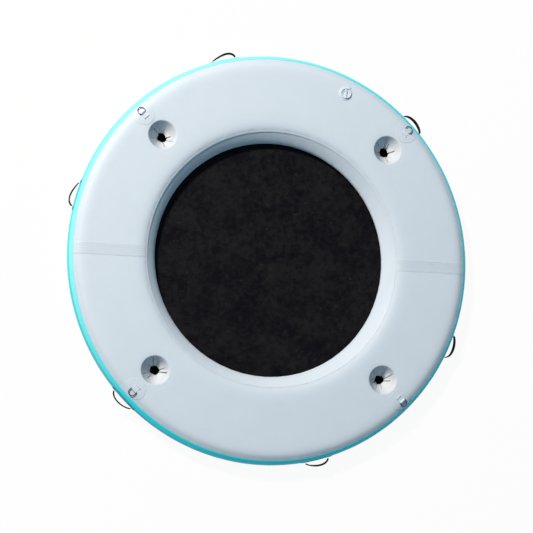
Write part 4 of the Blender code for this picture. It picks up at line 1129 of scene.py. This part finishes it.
def build_leash():
    """Leash: a ring under the cap's rim with a tongue, and its eye on the flange round a stud."""
    low, high = 0.0039, 0.0063
    turned_part("leash_ring", [(0.0293, low), (0.0311, low), (0.0311, high), (0.0293, high)],
                0.0005, PALE, ["valve_leash"], "leash", steps=4)
    hinge = JOINTS["leash_fold"]["pos_m"]
    angle = math.atan2(hinge[1] - VALVE[1], hinge[0] - VALVE[0])
    tongue = np.stack([np.linspace(0.0309, 0.0325, 5), np.zeros(5), np.full(5, DECK + (high + low) / 2)], -1)
    strip = swept(tongue, (0.0, 1.0, 0.0), 0.0048, 0.0008, square=0.4)
    turned_piece("leash_tongue", strip, (VALVE[0], VALVE[1], 0.0), angle, PALE, (), "leash", sharp=50)
    far = 0.0416
    eye = (VALVE[0] + far * math.cos(angle), VALVE[1] + far * math.sin(angle))
    turned_part("leash_eye", [(0.0072, 0.0019), (0.0098, 0.0019), (0.0098, 0.0042), (0.0072, 0.0042)],
                0.0008, PALE, ["valve_leash_eye"], segments=64, centre=eye)
    turned_part("leash_stud", [(0.0, -0.0015), (0.0056, -0.0015), (0.0056, 0.0041), (0.0, 0.0045)],
                0.0008, PALE, segments=48, solid=True, centre=eye)


# Inside the air chamber

def build_inner_pieces():
    """What the air chamber hides: the drop threads and the valve's nut, plunger, seal and spring."""
    nut = [(0.0238, -0.0046), (0.0238, -0.0086), (0.0360, -0.0086), (0.0370, -0.0046)]
    turned_part("valve_nut_ring", nut, 0.0006, "Dark valve plastic", ["valve_nut"])
    turned_part("valve_plunger_stem", [
        (0.0, -0.0015), (0.0065, -0.0019), (0.0065, -0.0045), (0.0030, -0.0045), (0.0030, -0.0411),
        (0.0180, -0.0411), (0.0180, -0.0441), (0.0, -0.0441),
    ], 0.0005, "Dark valve plastic", ["valve_plunger"], "plunger", segments=64, solid=True)
    seal = [(0.0130, -0.0393), (0.0130, -0.0408), (0.0180, -0.0408), (0.0180, -0.0393)]
    turned_part("valve_seal_ring", seal, 0.0005, "Black seal rubber", ["valve_seal"], "plunger", segments=64)
    coil_radius, wire_radius = 0.0046, 0.0006
    turn = np.linspace(0.0, 10 * np.pi, 241)
    low, high = DECK - 0.0186, DECK - 0.0054
    coil = around(VALVE, coil_radius, turn, low + (high - low) * turn / turn[-1])
    wire = swept(coil, (0.0, 0.0, 1.0), wire_radius, wire_radius, sides=12)
    spring = place(loop_mesh("valve_spring_coil", wire), "Spring steel", ["valve_spring"])
    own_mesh(spring)
    build_yarn()


def build_yarn():
    """Drop threads: upright strands between the skins on a polar grid over the four fields that
    lie clear of the wells and of the valve's nut."""
    thread, beside_nut = 0.0008, 0.042
    radius = np.arange(0.806, 1.110, 0.0150)
    spread = np.radians(np.arange(-36.0, 36.1, 1.0))
    middle = np.radians([90.0, 180.0, 270.0, 360.0])
    r, turn = np.meshgrid(radius, (middle[:, None] + spread).ravel(), indexing="ij")
    spots = np.stack([r * np.cos(turn), r * np.sin(turn)], -1).reshape(-1, 2)
    spots = spots[np.hypot(spots[:, 0] - VALVE[0], spots[:, 1] - VALVE[1]) > beside_nut]
    reach = np.hypot(spots[:, 0], spots[:, 1])
    ends = []
    for side in (-1, 1):
        table, skin, _ = section(side)
        level = (table > -BULGE) & (table < flat_width() + BULGE)
        height = np.interp(reach, skin[level, 0], skin[level, 1]) - sizes().cloth - 0.0006
        ends.append((MIDDLE + side * height)[:, None])
    low, high = ends
    x, y, z = (BOX_CORNERS[None, :, n] for n in range(3))
    corners = [spots[:, :1] + thread * x, spots[:, 1:] + thread * y, low + z * (high - low)]
    points = np.stack(corners, -1).reshape(-1, 3)
    faces = box_faces(len(spots))
    mesh = finish_mesh("drop_threads", points, faces, points[faces][..., (0, 2)], 30)
    place(mesh, "White drop yarn", ["drop_stitch_yarn"])


# Stage

def build_lamp():
    """Key lamp to the rear left, a disk that faces the middle of the deck: its -Z lies along the way
    there, its X is square to that and to the world's Y, and its Y is square to both."""
    spot = (-7.3, 7.1, 10.0)
    lamp = bpy.data.lights.new("key", "AREA")
    lamp.energy = 2480.0
    lamp.shape = "DISK"
    lamp.size = 1.6
    lamp.color = (1.0, 0.890, 0.820)
    direction = np.array([0.0, 0.0, DECK]) - np.array(spot)
    back = -direction / np.linalg.norm(direction)
    side = np.cross([0.0, 1.0, 0.0], back)
    side /= np.linalg.norm(side)
    turn = Matrix(np.stack([side, np.cross(back, side), back], -1).tolist())
    thing = bpy.data.objects.new("key", lamp)
    thing.matrix_world = Matrix.Translation(spot) @ turn.to_4x4()
    bpy.context.scene.collection.objects.link(thing)


def build_camera():
    """Camera from the outline fit: tilts about X, Y and the line of sight, distance, and focal length."""
    tilt_x, tilt_y, roll = -0.1004, 0.26, -0.0535
    distance, pixels_per_metre, shift_x, shift_y = 14.0602, 167.9611, 0.0022, 0.0345
    picture_width, sensor_width = 533, 36.0
    turn = Matrix.Rotation(tilt_y, 3, "Y") @ Matrix.Rotation(tilt_x, 3, "X") @ Matrix.Rotation(roll, 3, "Z")
    back = turn.transposed()
    data = bpy.data.cameras.new("Camera")
    data.sensor_width = sensor_width
    data.lens = distance * pixels_per_metre / picture_width * sensor_width
    camera = bpy.data.objects.new("Camera", data)
    spot = back @ Vector((-shift_x, -shift_y, distance))
    camera.matrix_world = Matrix.Translation(spot) @ back.to_4x4()
    bpy.context.scene.collection.objects.link(camera)
    bpy.context.scene.camera = camera


def floor_material():
    """Pale floor that shows white to the camera and keeps a soft part of the shadow."""
    material, tree, shader = blank_material("Pale floor", (0.80, 0.80, 0.80), 0.9)
    path = add_node(tree, "LightPath").outputs
    seen = sums(tree, "MAXIMUM", path["Is Camera Ray"], path["Is Glossy Ray"])
    seen = sums(tree, "MAXIMUM", seen, path["Is Transmission Ray"])
    white = add_node(tree, "Emission", {"Color": (1.0, 1.0, 1.0, 1.0), "Strength": 1.0})
    share_of_white = 0.94
    share = sums(tree, "MULTIPLY", seen, share_of_white)
    mix = add_node(tree, "MixShader", {0: share, 1: shader.outputs[0], 2: white.outputs[0]})
    tree.links.new(mix.outputs[0], tree.nodes["Material Output"].inputs["Surface"])
    return material


def build_floor():
    """Level square floor just below the part."""
    far, level = 30, -0.0005
    mesh = bpy.data.meshes.new("floor")
    corners = [(-far, -far, level), (far, -far, level), (far, far, level), (-far, far, level)]
    mesh.from_pydata(corners, [], [(0, 1, 2, 3)])
    mesh.materials.append(floor_material())
    floor = bpy.data.objects.new("floor", mesh)
    bpy.context.scene.collection.objects.link(floor)


def build_sky():
    """World that gives a soft blue light and shows white to the camera."""
    world = bpy.data.worlds.new("Studio")
    world.use_nodes = True
    tree = world.node_tree
    soft = tree.nodes["Background"]
    soft.inputs["Color"].default_value = (0.50, 0.79, 1.0, 1.0)
    soft.inputs["Strength"].default_value = 0.285
    camera_ray = add_node(tree, "LightPath").outputs["Is Camera Ray"]
    white = add_node(tree, "Background", {"Color": (1.0, 1.0, 1.0, 1.0), "Strength": 1.0})
    mix = add_node(tree, "MixShader", {0: camera_ray, 1: soft.outputs[0], 2: white.outputs[0]})
    tree.links.new(mix.outputs[0], tree.nodes["World Output"].inputs["Surface"])
    bpy.context.scene.world = world


def build_stage():
    """Floor, world, key lamp and camera."""
    bpy.context.scene.view_settings.view_transform = "Standard"
    build_floor()
    build_sky()
    build_lamp()
    build_camera()


# Operators and panel

class DOCK_OT_ring(bpy.types.Operator):
    """Build the deck, the underside, the side walls and their tapes"""
    bl_idname = "dock.ring"
    bl_label = "Ring"

    def execute(self, context):
        build_ring()
        return {"FINISHED"}


class DOCK_OT_joins(bpy.types.Operator):
    """Build the wide tapes over the joins of the two halves"""
    bl_idname = "dock.joins"
    bl_label = "Joint tapes"

    def execute(self, context):
        build_joins()
        return {"FINISHED"}


class DOCK_OT_centre(bpy.types.Operator):
    """Build the stretched mesh and the hem that carries it"""
    bl_idname = "dock.centre"
    bl_label = "Mesh centre"

    def execute(self, context):
        build_centre()
        return {"FINISHED"}


class DOCK_OT_wells(bpy.types.Operator):
    """Build the pinched sleeves with their collars and foot nets"""
    bl_idname = "dock.wells"
    bl_label = "Wells"

    def execute(self, context):
        build_wells()
        return {"FINISHED"}


class DOCK_OT_tie_downs(bpy.types.Operator):
    """Build the round patches, webbing tabs and D-rings"""
    bl_idname = "dock.tie_downs"
    bl_label = "Tie-downs"

    def execute(self, context):
        build_tie_downs()
        return {"FINISHED"}


class DOCK_OT_handles(bpy.types.Operator):
    """Build the webbing handles with their pads and sewn ends"""
    bl_idname = "dock.handles"
    bl_label = "Handles"

    def execute(self, context):
        build_handles()
        return {"FINISHED"}


class DOCK_OT_valve(bpy.types.Operator):
    """Build the valve housing, its cap and the leash"""
    bl_idname = "dock.valve"
    bl_label = "Valve"

    def execute(self, context):
        build_valve()
        return {"FINISHED"}


class DOCK_OT_inner_pieces(bpy.types.Operator):
    """Build the drop threads and the valve's inner pieces"""
    bl_idname = "dock.inner_pieces"
    bl_label = "Inner pieces"

    def execute(self, context):
        build_inner_pieces()
        return {"FINISHED"}


class DOCK_OT_stage(bpy.types.Operator):
    """Build the floor, the sky, the lamp and the camera"""
    bl_idname = "dock.stage"
    bl_label = "Stage"

    def execute(self, context):
        build_stage()
        return {"FINISHED"}


STEPS = (DOCK_OT_ring, DOCK_OT_joins, DOCK_OT_centre, DOCK_OT_wells, DOCK_OT_tie_downs,
         DOCK_OT_handles, DOCK_OT_valve, DOCK_OT_inner_pieces, DOCK_OT_stage)


class DOCK_PT_panel(bpy.types.Panel):
    """Lists the platform's steps, sizes and colours."""
    bl_label = "Dock platform"
    bl_idname = "DOCK_PT_panel"
    bl_space_type = "VIEW_3D"
    bl_region_type = "UI"
    bl_category = "Dock"

    def draw(self, context):
        for step in STEPS:
            self.layout.operator(step.bl_idname)
        for group in (context.scene.dock_sizes, context.scene.dock_colours):
            for key in group.bl_rna.properties.keys():
                if key not in ("rna_type", "name"):
                    self.layout.prop(group, key)


CLASSES = (DockSizes, DockColours, *STEPS, DOCK_PT_panel)


def register():
    """Add the classes and the scene's two property groups."""
    for kind in CLASSES:
        bpy.utils.register_class(kind)
    bpy.types.Scene.dock_sizes = PointerProperty(type=DockSizes)
    bpy.types.Scene.dock_colours = PointerProperty(type=DockColours)


def unregister():
    """Take the property groups and classes away again."""
    del bpy.types.Scene.dock_sizes
    del bpy.types.Scene.dock_colours
    for kind in reversed(CLASSES):
        bpy.utils.unregister_class(kind)


def main():
    """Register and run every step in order."""
    register()
    for step in STEPS:
        getattr(bpy.ops.dock, step.bl_idname.split(".")[1])()


if __name__ == "__main__":
    main()
